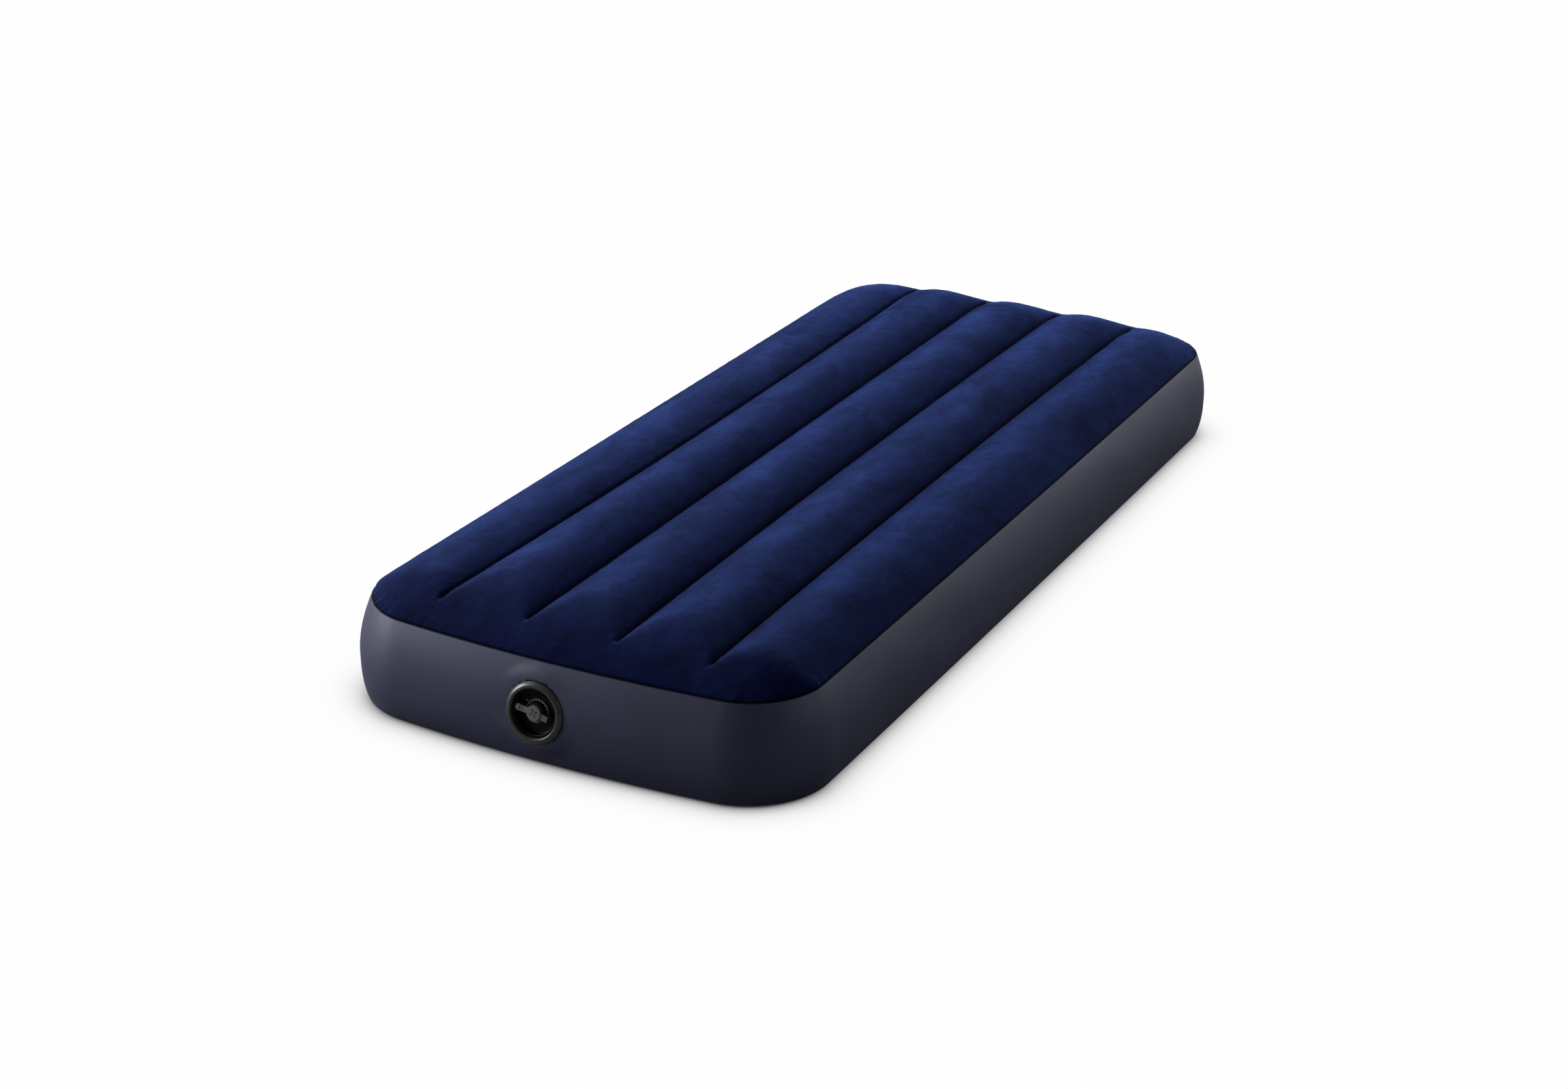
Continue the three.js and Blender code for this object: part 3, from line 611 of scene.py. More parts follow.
def inflate(start, faces, rest, pinned, guess, frames, most):
    """Cloth run of a pinned sheet under air pressure; no point ends further than most from guess."""
    ob = make_mesh("cloth_run", start, faces)
    ob.shape_key_add(name="Basis")
    flat = ob.shape_key_add(name="flat")
    flat.data.foreach_set("co", rest.astype(np.float32).ravel())
    flat.value = 0.0
    group = ob.vertex_groups.new(name="pin")
    group.add([int(i) for i in np.nonzero(pinned)[0]], 1.0, "REPLACE")
    m = ob.modifiers.new("Cloth", "CLOTH")
    settings = dict(
        quality=5, mass=0.25,
        tension_stiffness=42, compression_stiffness=42,
        shear_stiffness=18, bending_stiffness=0.35,
        tension_damping=12, compression_damping=12,
        shear_damping=10, bending_damping=1.0, air_damping=3.0,
        vertex_group_mass="pin", pin_stiffness=50, rest_shape_key=flat,
        use_pressure=True, uniform_pressure_force=3.6,
    )
    for key, value in settings.items():
        setattr(m.settings, key, value)
    m.settings.effector_weights.gravity = 0
    m.collision_settings.use_collision = False
    m.collision_settings.use_self_collision = False
    m.point_cache.frame_start = 1
    m.point_cache.frame_end = frames
    scene = bpy.context.scene
    scene.frame_start, scene.frame_end = 1, frames
    for f in range(1, frames + 1):
        scene.frame_set(f)
    evaluated = ob.evaluated_get(bpy.context.evaluated_depsgraph_get())
    me = evaluated.to_mesh()
    co = np.empty(len(me.vertices) * 3, np.float32)
    me.vertices.foreach_get("co", co)
    evaluated.to_mesh_clear()
    co = co.reshape(-1, 3).astype(float)
    bpy.data.objects.remove(ob)
    scene.frame_set(1)
    move = co - guess
    size = np.linalg.norm(move, axis=1)
    co = guess + move * np.minimum(1, most / np.maximum(size, 1e-9))[:, None]
    co[pinned] = guess[pinned]
    return co


def border_mask(shape):
    border = np.zeros(shape, bool)
    border[0], border[-1], border[:, 0], border[:, -1] = True, True, True, True
    return border


def resample(grid, xs, new):
    """Cubic interpolation of the columns of grid from places xs to places new."""
    slope = np.gradient(grid, xs, axis=0)
    j = np.clip(np.searchsorted(xs, new, side="right") - 1, 0, len(xs) - 2)
    h = (xs[j + 1] - xs[j])[:, None, None]
    t = (new - xs[j])[:, None, None] / h
    t2, t3 = t * t, t * t * t
    from_left = (2 * t3 - 3 * t2 + 1) * grid[j] + (t3 - 2 * t2 + t) * h * slope[j]
    return from_left + (3 * t2 - 2 * t3) * grid[j + 1] + (t3 - t2) * h * slope[j + 1]


def press_welds(sheet):
    """Presses the crease along each beam line; returns the painted shade along it, where the pile
    also lies flat.
    """
    crease_shade = np.zeros(sheet.shape[:2])
    foot, head = BEAM_Y
    for k in range(4):
        y = sheet[..., 1]
        off = abs(sheet[..., 0] - weld_at(k, y))
        along = smoothstep(foot - 0.004, foot + 0.014, y)
        along = along * (1 - smoothstep(head - 0.016, head + 0.003, y))
        crease_shade = np.maximum(crease_shade, along * np.exp(-((off / 0.0036) ** 2.2)))
        sheet[..., 2] -= CREASE * along * np.exp(-((off / 0.0042) ** 1.9))
    return crease_shade


def seam_gathers(x, y):
    """Height of the sheet's puckers at the seam, and each point's distance from the border."""
    inner_w, inner_l = TOP_HALF_W - TOP_R, TOP_HALF_L - TOP_R
    over_x, over_y = abs(x) - inner_w, abs(y) - inner_l
    to_border = np.minimum(TOP_HALF_W - abs(x), TOP_HALF_L - abs(y))
    in_corner = (over_x > 0) & (over_y > 0)
    dist = np.where(in_corner, TOP_R - np.hypot(over_x, over_y), to_border)

    def near_seam(rise, fall, power):
        fading = np.exp(-((np.clip(dist, 0, None) / fall) ** power))
        return np.clip(dist / rise, 0, 1) * fading

    arc = np.clip(np.arctan2(over_y, over_x), -0.6, math.pi / 2 + 0.6)
    phase = np.sign(x) * 1.7 + np.sign(y) * 0.9  # differs from corner to corner
    near = near_seam(rise=0.0028, fall=0.0125, power=1.1)
    # a fan of puckers round each corner, with shorter ones between
    fan = np.sin(21 * arc + 2.2 * np.sin(5 * arc + phase) + 3 * phase) * 0.65
    fan += np.sin(34 * arc + 5 * phase) * 0.35
    short = np.sin(58 * arc + 2.0 * np.sin(9 * arc + 2 * phase) + phase)
    short *= near_seam(rise=0.0022, fall=0.0085, power=1.3)
    turn = smoothstep(-0.45, 0.25, arc)
    turn *= 1 - smoothstep(math.pi / 2 - 0.25, math.pi / 2 + 0.45, arc)
    by_corner = (abs(x) > inner_w - 0.05) * (abs(y) > inner_l - 0.05)
    pucker = (0.0015 * near * fan + 0.0010 * short) * turn * by_corner
    # slight ones along the ends
    run = np.sin(x * 260 + 2.0 * np.sin(x * 41 + phase)) * 0.6 + np.sin(x * 410 + phase) * 0.4
    by_end = (abs(x) < inner_w + 0.02) * (abs(y) > TOP_HALF_L - 0.05)
    pucker += 0.00035 * run * near * by_end
    return pucker, dist


def build_top():
    """Points of the top sheet's outer face, and the painted shade of its pile at each."""
    xs, plan_x, plan_y = top_grid()
    x, y, to_end = bed_plan(plan_x, plan_y, TOP_INSET)
    z = top_height(x, y, to_end)
    border = border_mask(z.shape)
    z[border] = SEAM_Z
    # weld strips: the columns on and beside each beam line, between the beams' ends
    weld = np.zeros(z.shape, bool)
    for k in range(4):
        i = int(abs(xs - WELD_X[k]).argmin())
        on = (y[i] > BEAM_Y[0] - 0.001) & (y[i] < BEAM_Y[1] - 0.002)
        for di in (-1, 0, 1):
            weld[i + di] |= on
            z[i + di, on] = z[i, on]
    sheet = np.stack([x, y, z], -1)
    guess = sheet.reshape(-1, 3)
    rest = rest_pattern(sheet, stretch_x=1.006, stretch_y=1.004).reshape(-1, 3)
    pinned = (border | weld).ravel()
    rng = np.random.default_rng(7)
    start = guess.copy()
    start[~pinned, 2] += rng.normal(0, 0.0002, (~pinned).sum())
    faces = grid_faces(*z.shape)
    sheet = inflate(start, faces, rest, pinned, guess, frames=24, most=0.016)
    sheet = sheet.reshape(*z.shape, 3)
    # finer columns beside each beam line, then the pressed crease itself
    finer = set(np.round(xs, 6))
    for weld_x in WELD_X:
        for step in CREASE_STEPS:
            finer.update((round(weld_x + step, 6), round(weld_x - step, 6)))
    both = np.concatenate([sheet, plan_x[..., None], plan_y[..., None]], -1)
    both = resample(both, xs, np.array(sorted(finer)))
    sheet = both[..., :3].copy()
    crease_shade = press_welds(sheet)
    pucker, dist = seam_gathers(both[..., 3], both[..., 4])
    sheet = sheet + grid_normals(sheet) * pucker[..., None]
    # the edge is tucked under the rim of the side band, and painted shade darkens its pile there
    sheet[border_mask(crease_shade.shape), 2] -= 0.0026
    return sheet, np.maximum(crease_shade, 1 - smoothstep(0.0004, 0.0030, dist))


sheet_points, crease_shade = build_top()
under = sheet_points - grid_normals(sheet_points) * SHEET_T
top = shell_object("sleeping_top", sheet_points, under)
# painted shade of the weld creases and the seam, read by the velvet material
tag(top, "crease", np.concatenate([crease_shade.ravel(), crease_shade.ravel()]))
register(top, FLOCK, "top", "top_sheet")

# ------------------------------------------------------------------ side band
FLANGE_R = 0.048
HOLE_R = FLANGE_R - 0.0008
# The wall lies up to this far behind the flange: room for its tilt when it squashes.
SKIRT_D = 0.0012
# soft unevenness of the wall: (waves round the outline, height)
WALL_WAVES = ((9, 0.00035), (14, 0.00030), (23, 0.00022), (37, 0.00012))
BAND_Z = np.concatenate([
    [LOW_Z, LOW_Z + 0.003, LOW_Z + 0.007],
    np.linspace(LOW_Z + 0.012, SEAM_Z - 0.014, 21),
    [SEAM_Z - d for d in (0.0105, 0.007, 0.0042, 0.002, 0.0008, 0)],
])


def band_stations():
    """Stations round the outline, anticlockwise from above. Columns: place (x, y) as a share
    of the corner centres' place, outward direction (x, y), and 1 where it is on a corner."""
    half_w, _, r = outline_size(0)
    span = 2 * (half_w - r)
    # closer stations beside the valve
    base = np.linspace(-span / 2, span / 2, 400)
    total = np.cumsum(1 + 2.2 * np.exp(-(((base - VALVE_AT.x) / 0.075) ** 4)))
    total = (total - total[0]) / (total[-1] - total[0])
    even = np.linspace(0, 1, 110, endpoint=False)
    foot = np.interp(even, total, (base + span / 2) / span)
    head = np.linspace(0, 1, 56, endpoint=False)
    side = np.linspace(0, 1, 150, endpoint=False)
    corners = ((1, 1), (-1, 1), (-1, -1), (1, -1))
    per_corner = 22
    stations = []
    for k, shares in enumerate((head, side, foot, side)):
        x0, y0 = corners[k]
        x1, y1 = corners[(k + 1) % 4]
        for i in range(per_corner):
            angle = math.radians(90 * k + 90 * i / per_corner)
            stations.append((x0, y0, math.cos(angle), math.sin(angle), 1))
        out_x, out_y = (0, y0) if y0 == y1 else (x0, 0)
        for t in shares:
            stations.append((x0 + (x1 - x0) * t, y0 + (y1 - y0) * t, out_x, out_y, 0))
    return np.array(stations, float)


def band_ring(stations, inset):
    """Plan points of the outline at an inset."""
    half_w, half_l, r = outline_size(inset)
    p = stations[:, :2] * (half_w - r, half_l - r) + r * stations[:, 2:4]
    return np.stack(bowed(p[:, 0], p[:, 1], half_w, half_l), 1)


def flatten_at_valve(points, depth):
    """Brings the wall round the valve to the flange's plane, depth behind it."""
    out = np.array(VALVE_OUT)
    d = points - np.array(VALVE_AT)
    off = d @ out + depth
    radius = np.hypot(d[..., 0], d @ np.array(VALVE_UP))
    weight = (1 - smoothstep(0.0475, 0.0762, radius)) * (points[..., 1] < 0)
    return points + out * ((np.clip(off, -SKIRT_D, 0.0) - off) * weight)[..., None]


def build_band():
    """Outer and inner point grids of the wall: stations by rows."""
    stations = band_stations()
    outer = np.empty((len(stations), len(BAND_Z), 3))
    for j, z in enumerate(BAND_Z):
        outer[:, j, :2] = band_ring(stations, float(inset_at(z)))
        outer[:, j, 2] = z
    # angle round the outline, by the length of one ring
    ring = outer[:, 10, :2]
    steps = np.linalg.norm(np.diff(ring, axis=0), axis=1)
    length = np.concatenate([[0], np.cumsum(steps)])
    total = length[-1] + np.linalg.norm(ring[0] - ring[-1])
    phase = 2 * np.pi * length / total
    # soft unevenness of a filled vinyl wall, dying out at both seams
    share = (BAND_Z - LOW_Z) / (SEAM_Z - LOW_Z)
    envelope = np.sin(np.pi * np.clip(share, 0, 1)) ** 0.8
    rng = np.random.default_rng(3)
    wave = np.zeros(outer.shape[:2])
    for n, height in WALL_WAVES:
        a, b = rng.uniform(0, 2 * np.pi, 2)
        sway = 1.2 * np.sin(2 * np.pi * share[None] + b)
        wave += height * np.sin(n * phase[:, None] + a + sway)
    # small gathers where the corners turn
    reach = 14
    kernel = np.exp(-((np.arange(-reach, reach + 1) / 7.0) ** 2))
    on_arc = stations[:, 4]
    padded = np.r_[on_arc[-reach:], on_arc, on_arc[:reach]]
    on_arc = np.convolve(padded, kernel / kernel.sum(), "same")[reach:-reach]
    on_arc = np.clip(on_arc, 0, 1)
    gather = 0.00055 * np.sin(phase * 150 + 1.5 * np.sin(phase * 11)) * on_arc
    below = SEAM_Z - BAND_Z
    near_seam = np.exp(-(below / 0.020)) * (1 - np.exp(-(below / 0.0015)))
    around = np.roll(outer, -1, 0) - np.roll(outer, 1, 0)
    normal = np.cross(around, np.gradient(outer, axis=1))
    normal /= np.maximum(np.linalg.norm(normal, axis=-1, keepdims=True), 1e-12)
    relief = wave * envelope[None] + gather[:, None] * near_seam[None]
    outer = outer + normal * relief[..., None]
    inner = outer - normal * BAND_T
    outer[:, -1] -= normal[:, -1] * 0.0009
    return flatten_at_valve(outer, 0.0), flatten_at_valve(inner, BAND_T)


def valve_cutter(radius, z0, z1, n=96):
    """Cylinder along the valve axis."""
    a = np.linspace(0, 2 * np.pi, n, endpoint=False)
    ring = np.stack([radius * np.cos(a), radius * np.sin(a)], 1)
    verts = [(x, y, z) for z in (z0, z1) for x, y in ring]
    tool = make_mesh("cutter", verts, tube_faces(2, n), False)
    tool.data.transform(VALVE_MATRIX)
    fix_normals(tool)
    return tool


band = shell_object("side_band", *build_band(), wrap=True)
cut(band, valve_cutter(HOLE_R, -0.02, 0.02))
rim_shade = 0.93 * smoothstep(SEAM_Z - 0.0017, SEAM_Z - 0.0006, mesh_points(band)[:, 2])
tag(band, "edge", rim_shade)
register(band, WALL_VINYL, "root", "side_wall")


# ------------------------------------------------------------------ bottom sheet
def bottom_object():
    """Flat sheet with an upturned rim and a low ridge along each beam line."""
    half_w, _, r = outline_size(FLOOR_INSET)
    beside = (-0.02, -0.012, -0.006, -0.002, 0, 0.002, 0.006, 0.012, 0.02)
    columns = [w + s for w in WELD_X for s in beside]
    columns += list(np.linspace(-0.26, 0.26, 27))
    for a in range(0, 91, 6):
        x = half_w - r + r * math.sin(math.radians(a))
        columns += [x, -x]
    columns = sorted({round(x, 5) for x in columns})
    apart = [x for i, x in enumerate(columns) if i == 0 or x - columns[i - 1] > 0.0008]
    apart[0], apart[-1] = -half_w, half_w
    # rows as shares of the length, closer at both ends
    ends = np.array([0, 0.001, 0.0022, 0.004, 0.0065, 0.0095, 0.014, 0.022, 0.034, 0.05])
    shares = np.concatenate([ends, np.linspace(0.07, 0.93, 60), 1 - ends[::-1]])
    plan_x, share = np.meshgrid(np.array(apart), shares, indexing="ij")
    plan_y = (2 * share - 1) * end_reach(plan_x, FLOOR_INSET)
    x, y, to_end = bed_plan(plan_x, plan_y, FLOOR_INSET)
    to_rim = np.minimum(to_end, half_w - abs(plan_x))
    z = (LOW_Z - 0.0006) * (1 - np.clip(to_rim / 0.017, 0, 1)) ** 2
    fade = 1 - smoothstep(0.80, 0.87, abs(y))
    for k in range(4):
        z = np.maximum(z, 0.004 * np.exp(-((abs(x - weld_at(k, y)) / 0.0085) ** 1.4)) * fade)
    lower = np.stack([x, y, z], -1)
    upper = lower.copy()
    upper[..., 2] += 0.0012
    return shell_object("floor_sheet", lower, upper)


bottom = bottom_object()
register(bottom, FLOOR_VINYL, "root", "bottom_sheet")


# ------------------------------------------------------------------ beams
def beam_object(k):
    """I-section: a thin web that bellies a little between its welded strips."""
    ys, _, tops = BEAMS[k]
    z0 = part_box(f"beam_web_{k + 1}")[0].z
    stations = 90
    y = np.linspace(BEAM_Y[0], BEAM_Y[1], stations)
    x = weld_at(k, y)
    z1 = np.interp(y, ys, tops) - 0.0002 - CREASE
    strip_w, strip_t, web = 0.011, 0.0010, 0.0004  # half widths, but a full thickness
    verts = []
    for i in range(stations):
        h = z1[i] - z0
        plus_side = [
            (strip_w, 0), (strip_w, strip_t), (web, strip_t),
            (web, h * 0.28), (web, h * 0.5), (web, h * 0.72),
            (web, h - strip_t), (strip_w, h - strip_t), (strip_w, h),
        ]
        minus_side = [(-dx, dz) for dx, dz in reversed(plus_side)]
        for dx, dz in [minus_side[-1], *plus_side, *minus_side[:-1]]:
            belly = 0.0015 * math.sin(math.pi * dz / h) * math.sin(17 * y[i] + k)
            verts.append((x[i] + dx + belly, y[i], z0 + dz))
    ob = make_mesh(f"beam_{k + 1}", verts, tube_faces(stations, 18), False)
    fix_normals(ob)
    register(ob, BEAM_VINYL, "root", f"beam_web_{k + 1}")
    return ob


beams = [beam_object(k) for k in range(4)]


# ------------------------------------------------------------------ valve: shape helpers
# Every valve piece is made in the valve's own frame and then placed.
def rounded(points, radii, steps=4):
    """Closed profile with its corners rounded, by one radius or by one for each."""
    out = []
    n = len(points)
    for i, p in enumerate(points):
        p = np.array(p, float)
        a, b = np.array(points[i - 1], float), np.array(points[(i + 1) % n], float)
        radius = radii[i] if isinstance(radii, list) else radii
        da, db = a - p, b - p
        la, lb = np.linalg.norm(da), np.linalg.norm(db)
        d = min(radius, la * 0.45, lb * 0.45)
        if d < 1e-6:
            out.append(p)
            continue
        p0, p1 = p + da / la * d, p + db / lb * d
        for t in np.linspace(0, 1, steps + 1):
            out.append((1 - t) ** 2 * p0 + 2 * t * (1 - t) * p + t * t * p1)
    return out


def lathe(name, table, n):
    """Solid turned round z. Columns of the table: radius, z, rounding of that corner."""
    prof = np.array(rounded([row[:2] for row in table], [row[2] for row in table]), float)
    a = np.linspace(0, 2 * np.pi, n, endpoint=False)
    m = len(prof)
    x, y = np.outer(np.cos(a), prof[:, 0]), np.outer(np.sin(a), prof[:, 0])
    v = np.stack([x, y, np.tile(prof[:, 1], (n, 1))], -1).reshape(-1, 3)
    # points on the axis are one shared vertex, so that the solid closes there
    on_axis = prof[:, 0] < 0.00015
    v[np.tile(on_axis, n), :2] = 0.0
    at = [[(0 if on_axis[j] else i) * m + j for j in range(m)] for i in range(n)]
    faces = []
    for i in range(n):
        for j in range(m):
            i2, j2 = (i + 1) % n, (j + 1) % m
            face = tuple(dict.fromkeys((at[i][j], at[i2][j], at[i2][j2], at[i][j2])))
            if len(face) > 2:
                faces.append(face)
    used = sorted({k for f in faces for k in f})
    new = {k: i for i, k in enumerate(used)}
    ob = make_mesh(name, v[used], [tuple(new[k] for k in f) for f in faces])
    fix_normals(ob)
    return ob


def prism(name, outline, z0, z1, bevel=0.0):
    """Solid of a 2-D outline, by a filled curve, with rounded edges."""
    curve = bpy.data.curves.new(name, "CURVE")
    curve.dimensions = "2D"
    curve.fill_mode = "BOTH"
    spline = curve.splines.new("POLY")
    spline.points.add(len(outline) - 1)
    for point, (x, y) in zip(spline.points, outline):
        point.co = (x, y, 0, 1)
    spline.use_cyclic_u = True
    curve.extrude = (z1 - z0) / 2 - bevel
    curve.bevel_depth = bevel
    curve.bevel_resolution = 2
    curve.offset = -bevel
    source = bpy.data.objects.new(name, curve)
    bpy.context.scene.collection.objects.link(source)
    depsgraph = bpy.context.evaluated_depsgraph_get()
    depsgraph.update()
    me = bpy.data.meshes.new_from_object(source.evaluated_get(depsgraph))
    bpy.data.objects.remove(source)
    bm = bmesh.new()
    bm.from_mesh(me)
    bmesh.ops.translate(bm, verts=bm.verts, vec=(0, 0, (z0 + z1) / 2))
    bmesh.ops.remove_doubles(bm, verts=bm.verts, dist=1e-6)
    bmesh.ops.recalc_face_normals(bm, faces=bm.faces)
    bm.to_mesh(me)
    bm.free()
    me.name = name
    ob = bpy.data.objects.new(name, me)
    bpy.context.scene.collection.objects.link(ob)
    return ob


def auto_smooth(ob):
    """Sharp edges stay sharp, the rest shades smoothly."""
    bm = bmesh.new()
    bm.from_mesh(ob.data)
    bmesh.ops.remove_doubles(bm, verts=bm.verts, dist=2e-6)
    # a face that repeats another's corners goes before the edges are marked
    bm.verts.index_update()
    seen, doubled = set(), []
    for f in bm.faces:
        corners = frozenset(v.index for v in f.verts)
        if corners in seen:
            doubled.append(f)
        seen.add(corners)
    bmesh.ops.delete(bm, geom=doubled, context="FACES_ONLY")
    limit = math.radians(35)
    for f in bm.faces:
        f.smooth = True
    for e in bm.edges:
        e.smooth = not (len(e.link_faces) == 2 and e.calc_face_angle(0) > limit)
    bm.to_mesh(ob.data)
    bm.free()


def finish_piece(ob, material, body, node):
    """Shades a valve piece, places it on the wall and registers it."""
    auto_smooth(ob)
    ob.data.transform(VALVE_MATRIX)
    fix_normals(ob)
    register(ob, material, body, node)


def polar(r, degrees):
    return r * math.cos(math.radians(degrees)), r * math.sin(math.radians(degrees))


def circle(r, n, at=(0, 0)):
    angles = [2 * math.pi * i / n for i in range(n)]
    return [(at[0] + r * math.cos(a), at[1] + r * math.sin(a)) for a in angles]


def bar(direction, start, end, start_w, end_w):
    """Outline of a straight bar along direction, from start to end."""
    n = np.array((-direction[1], direction[0]))
    a, b = direction * start, direction * end
    return [a - n * start_w / 2, b - n * end_w / 2, b + n * end_w / 2, a + n * start_w / 2]


def arc_band(name, r, width, a0, a1, z0, z1, at, n=40):
    """Narrow raised arc of mean radius r between two angles."""
    turn = a1 - a0
    loop = [polar(r + width / 2, a0 + turn * i / n) for i in range(n + 1)]
    loop += [polar(r - width / 2, a1 - turn * i / n) for i in range(n + 1)]
    return prism(name, [(at[0] + x, at[1] + y) for x, y in loop], z0, z1, 0.0002)


# ------------------------------------------------------------------ valve: sizes
LIP_R, LIP_Z, TUBE_R, STEP_Z, BORE_R, SOCKET_Z = 0.0375, 0.0054, 0.0393, -0.014, 0.0345, -0.033
assert HOLE_R * KEEP > TUBE_R  # the squashed hole clears the tube
PLUG_R, DISH_R, SKIRT_R = 0.0368, 0.0336, 0.0322
DISH_Z, FLOOR_T, SKIRT_Z = -0.0118, 0.0026, -0.030
DISH_LOW = DISH_Z - FLOOR_T
PITCH = 0.008  # of the screw ribs
PORT_R, BOSS_R, BOSS_Z = 0.0095, 0.014, -0.005
HUB_R, HUB_TOP, HUB_LOW = 0.0116, 0.002, -0.0047
PAD_AT, TAB_AT = np.array((-0.027, 0.0035)), np.array((0.0223, -0.0063))
PAD_DIR = PAD_AT / np.linalg.norm(PAD_AT)
TAB_DIR = TAB_AT / np.linalg.norm(TAB_AT)
STRAP_Z = (-0.0025, 0.0005)
STRAP_W = 0.0096
FOLD_AT, FOLD_GAP = 0.0195, 0.00025  # strap's fold from the valve axis, and half its gap
RIVET_HOLE_R = 0.0017
STUD_AT = (-0.0182, 0.0138)
AXIS_R = 0.00005  # radius of profile points that lie on the axis


def screw_rib(r0, r1, z0):
    """Screw rib from radius r0 to r1, tapered at both ends."""
    per_turn = 96
    n = int(per_turn * 1.2)
    verts = []
    for i in range(n + 1):
        a = 2 * math.pi * i / per_turn
        z = z0 + PITCH * i / per_turn
        tip = r0 + (r1 - r0) * max(0.05, min(1, i / 10, (n - i) / 10))
        flank = r0 + (tip - r0) * 0.8
        half = ((r0, 0.0012), (flank, 0.0008), (tip, 0.0005))
        for r, dz in [(r, -dz) for r, dz in half] + list(half[::-1]):
            verts.append((r * math.cos(a), r * math.sin(a), z + dz))
    ob = make_mesh("screw_rib", verts, tube_faces(n + 1, 6))
    fix_normals(ob)
    return ob


# ------------------------------------------------------------------ valve: flange and socket
flange = lathe("valve_flange", [
    (FLANGE_R, 0.0001, 0.0003),
    (FLANGE_R - 0.0001, 0.0010, 0.0006),
    (FLANGE_R - 0.0006, 0.0018, 0.0008),
    (FLANGE_R - 0.0022, 0.0033, 0.001),
    (FLANGE_R - 0.0046, 0.0048, 0.001),
    (FLANGE_R - 0.0068, LIP_Z, 0.0012),
    (LIP_R + 0.0016, LIP_Z - 0.0003, 0.0012),
    (LIP_R + 0.0003, LIP_Z - 0.0018, 0.001),
    (LIP_R, LIP_Z - 0.0040, 0.001),
    (LIP_R, STEP_Z, 0.0004),
    (BORE_R, STEP_Z, 0.0004),
    (BORE_R, SOCKET_Z, 0.0004),
    (BORE_R + 0.0022, SOCKET_Z, 0.0004),
    (BORE_R + 0.0022, STEP_Z - 0.0034, 0.001),
    (TUBE_R, STEP_Z - 0.0024, 0.001),
    (TUBE_R, 0.0001, 0.0003),
], 160)
join(flange, screw_rib(BORE_R + 0.0007, SKIRT_R + 0.0007, SKIRT_Z - 0.0006))
finish_piece(flange, FLANGE_VINYL, "valve", "valve_base")

# ------------------------------------------------------------------ valve: plug
plug = lathe("screw_plug", [
    (PLUG_R, -0.0122, 0.0006),
    (PLUG_R, -0.0010, 0.0012),
    (DISH_R, -0.0010, 0.0012),
    (DISH_R, DISH_Z, 0.0018),
    (BOSS_R, DISH_Z, 0.0010),
    (BOSS_R, BOSS_Z, 0.0008),
    (PORT_R, BOSS_Z, 0.0008),
    (PORT_R, DISH_LOW, 0.0006),
    (SKIRT_R - 0.0022, DISH_LOW, 0.001),
    (SKIRT_R - 0.0022, SKIRT_Z, 0.0006),
    (SKIRT_R, SKIRT_Z, 0.0006),
    (SKIRT_R, -0.0122, 0.0006),
], 144)
join(plug, screw_rib(SKIRT_R - 0.0008, BORE_R - 0.0007, SKIRT_Z + PITCH / 2 - 0.0006))

GRIP_INNER, GRIP_OUTER, GRIP_START, GRIP_END, TEETH = 0.0152, 0.0192, -8, 172, 9
# one notch between teeth: (height above the inner radius, share of the tooth step)
NOTCH = (
    (0.0021, 0.02), (0.0021, 0.22), (0.0016, 0.28), (0.0002, 0.34), (0, 0.40),
    (0, 0.60), (0.0002, 0.66), (0.0016, 0.72), (0.0021, 0.78), (0.0021, 0.98),
)


def grip_outline():
    """Half ring, smooth outside and toothed inside."""
    turn = GRIP_END - GRIP_START
    loop = [polar(GRIP_OUTER, GRIP_START + turn * i / 40) for i in range(41)]
    step = turn / TEETH
    for i in range(TEETH, 0, -1):
        for height, share in NOTCH:
            loop.append(polar(GRIP_INNER + height, GRIP_START + step * i - step * share))
    return loop


# the object takes its own name only once it is registered
grip = prism("g", grip_outline(), DISH_Z - 0.0006, DISH_Z + 0.0030, 0.0003)
finish_piece(grip, CAP_GREY, "plug", None)
grip.name = "grip_rib"

join(plug, prism("strap_post", circle(0.0032, 32, PAD_AT), DISH_Z - 0.0006, -0.0028, 0.0003))
# two lugs under the dish, with the flap pin's hole through them
for x in (-0.0056, 0.0056):
    lug = [
        (x - 0.001, 0.0110), (x + 0.001, 0.0110), (x + 0.001, 0.0147), (x - 0.001, 0.0147),
    ]
    join(plug, prism("lug", lug, DISH_LOW - 0.0044, DISH_LOW + 0.0004, 0.0002))
pin_at = VALVE_MATRIX.inverted() @ Vector(JOINTS["flap_open"]["pos_m"])
pin_hole = prism("pin_hole", circle(0.0012, 32), -0.008, 0.008)
along_x = Matrix.Rotation(math.pi / 2, 4, "Y")
pin_hole.data.transform(Matrix.Translation((0, pin_at.y, pin_at.z)) @ along_x)
fix_normals(pin_hole)
cut(plug, pin_hole)
cut(plug, prism("rivet_hole", circle(RIVET_HOLE_R, 24, PAD_AT), -0.008, 0.0))
finish_piece(plug, PLUG_BLACK, "plug", "deflation_plug")

# a stud and faint raised arcs on the dish floor
stud = lathe("dish_stud", [
    (0.0001, DISH_Z - 0.0004, 0.0004),
    (0.0024, DISH_Z - 0.0004, 0.0004),
    (0.0022, DISH_Z + 0.0032, 0.0004),
    (0.0014, DISH_Z + 0.0040, 0.0004),
    (0.0001, DISH_Z + 0.0041, 0.0004),
], 40)
stud.data.transform(Matrix.Translation((*STUD_AT, 0)))
finish_piece(stud, CAP_GREY, "plug", None)

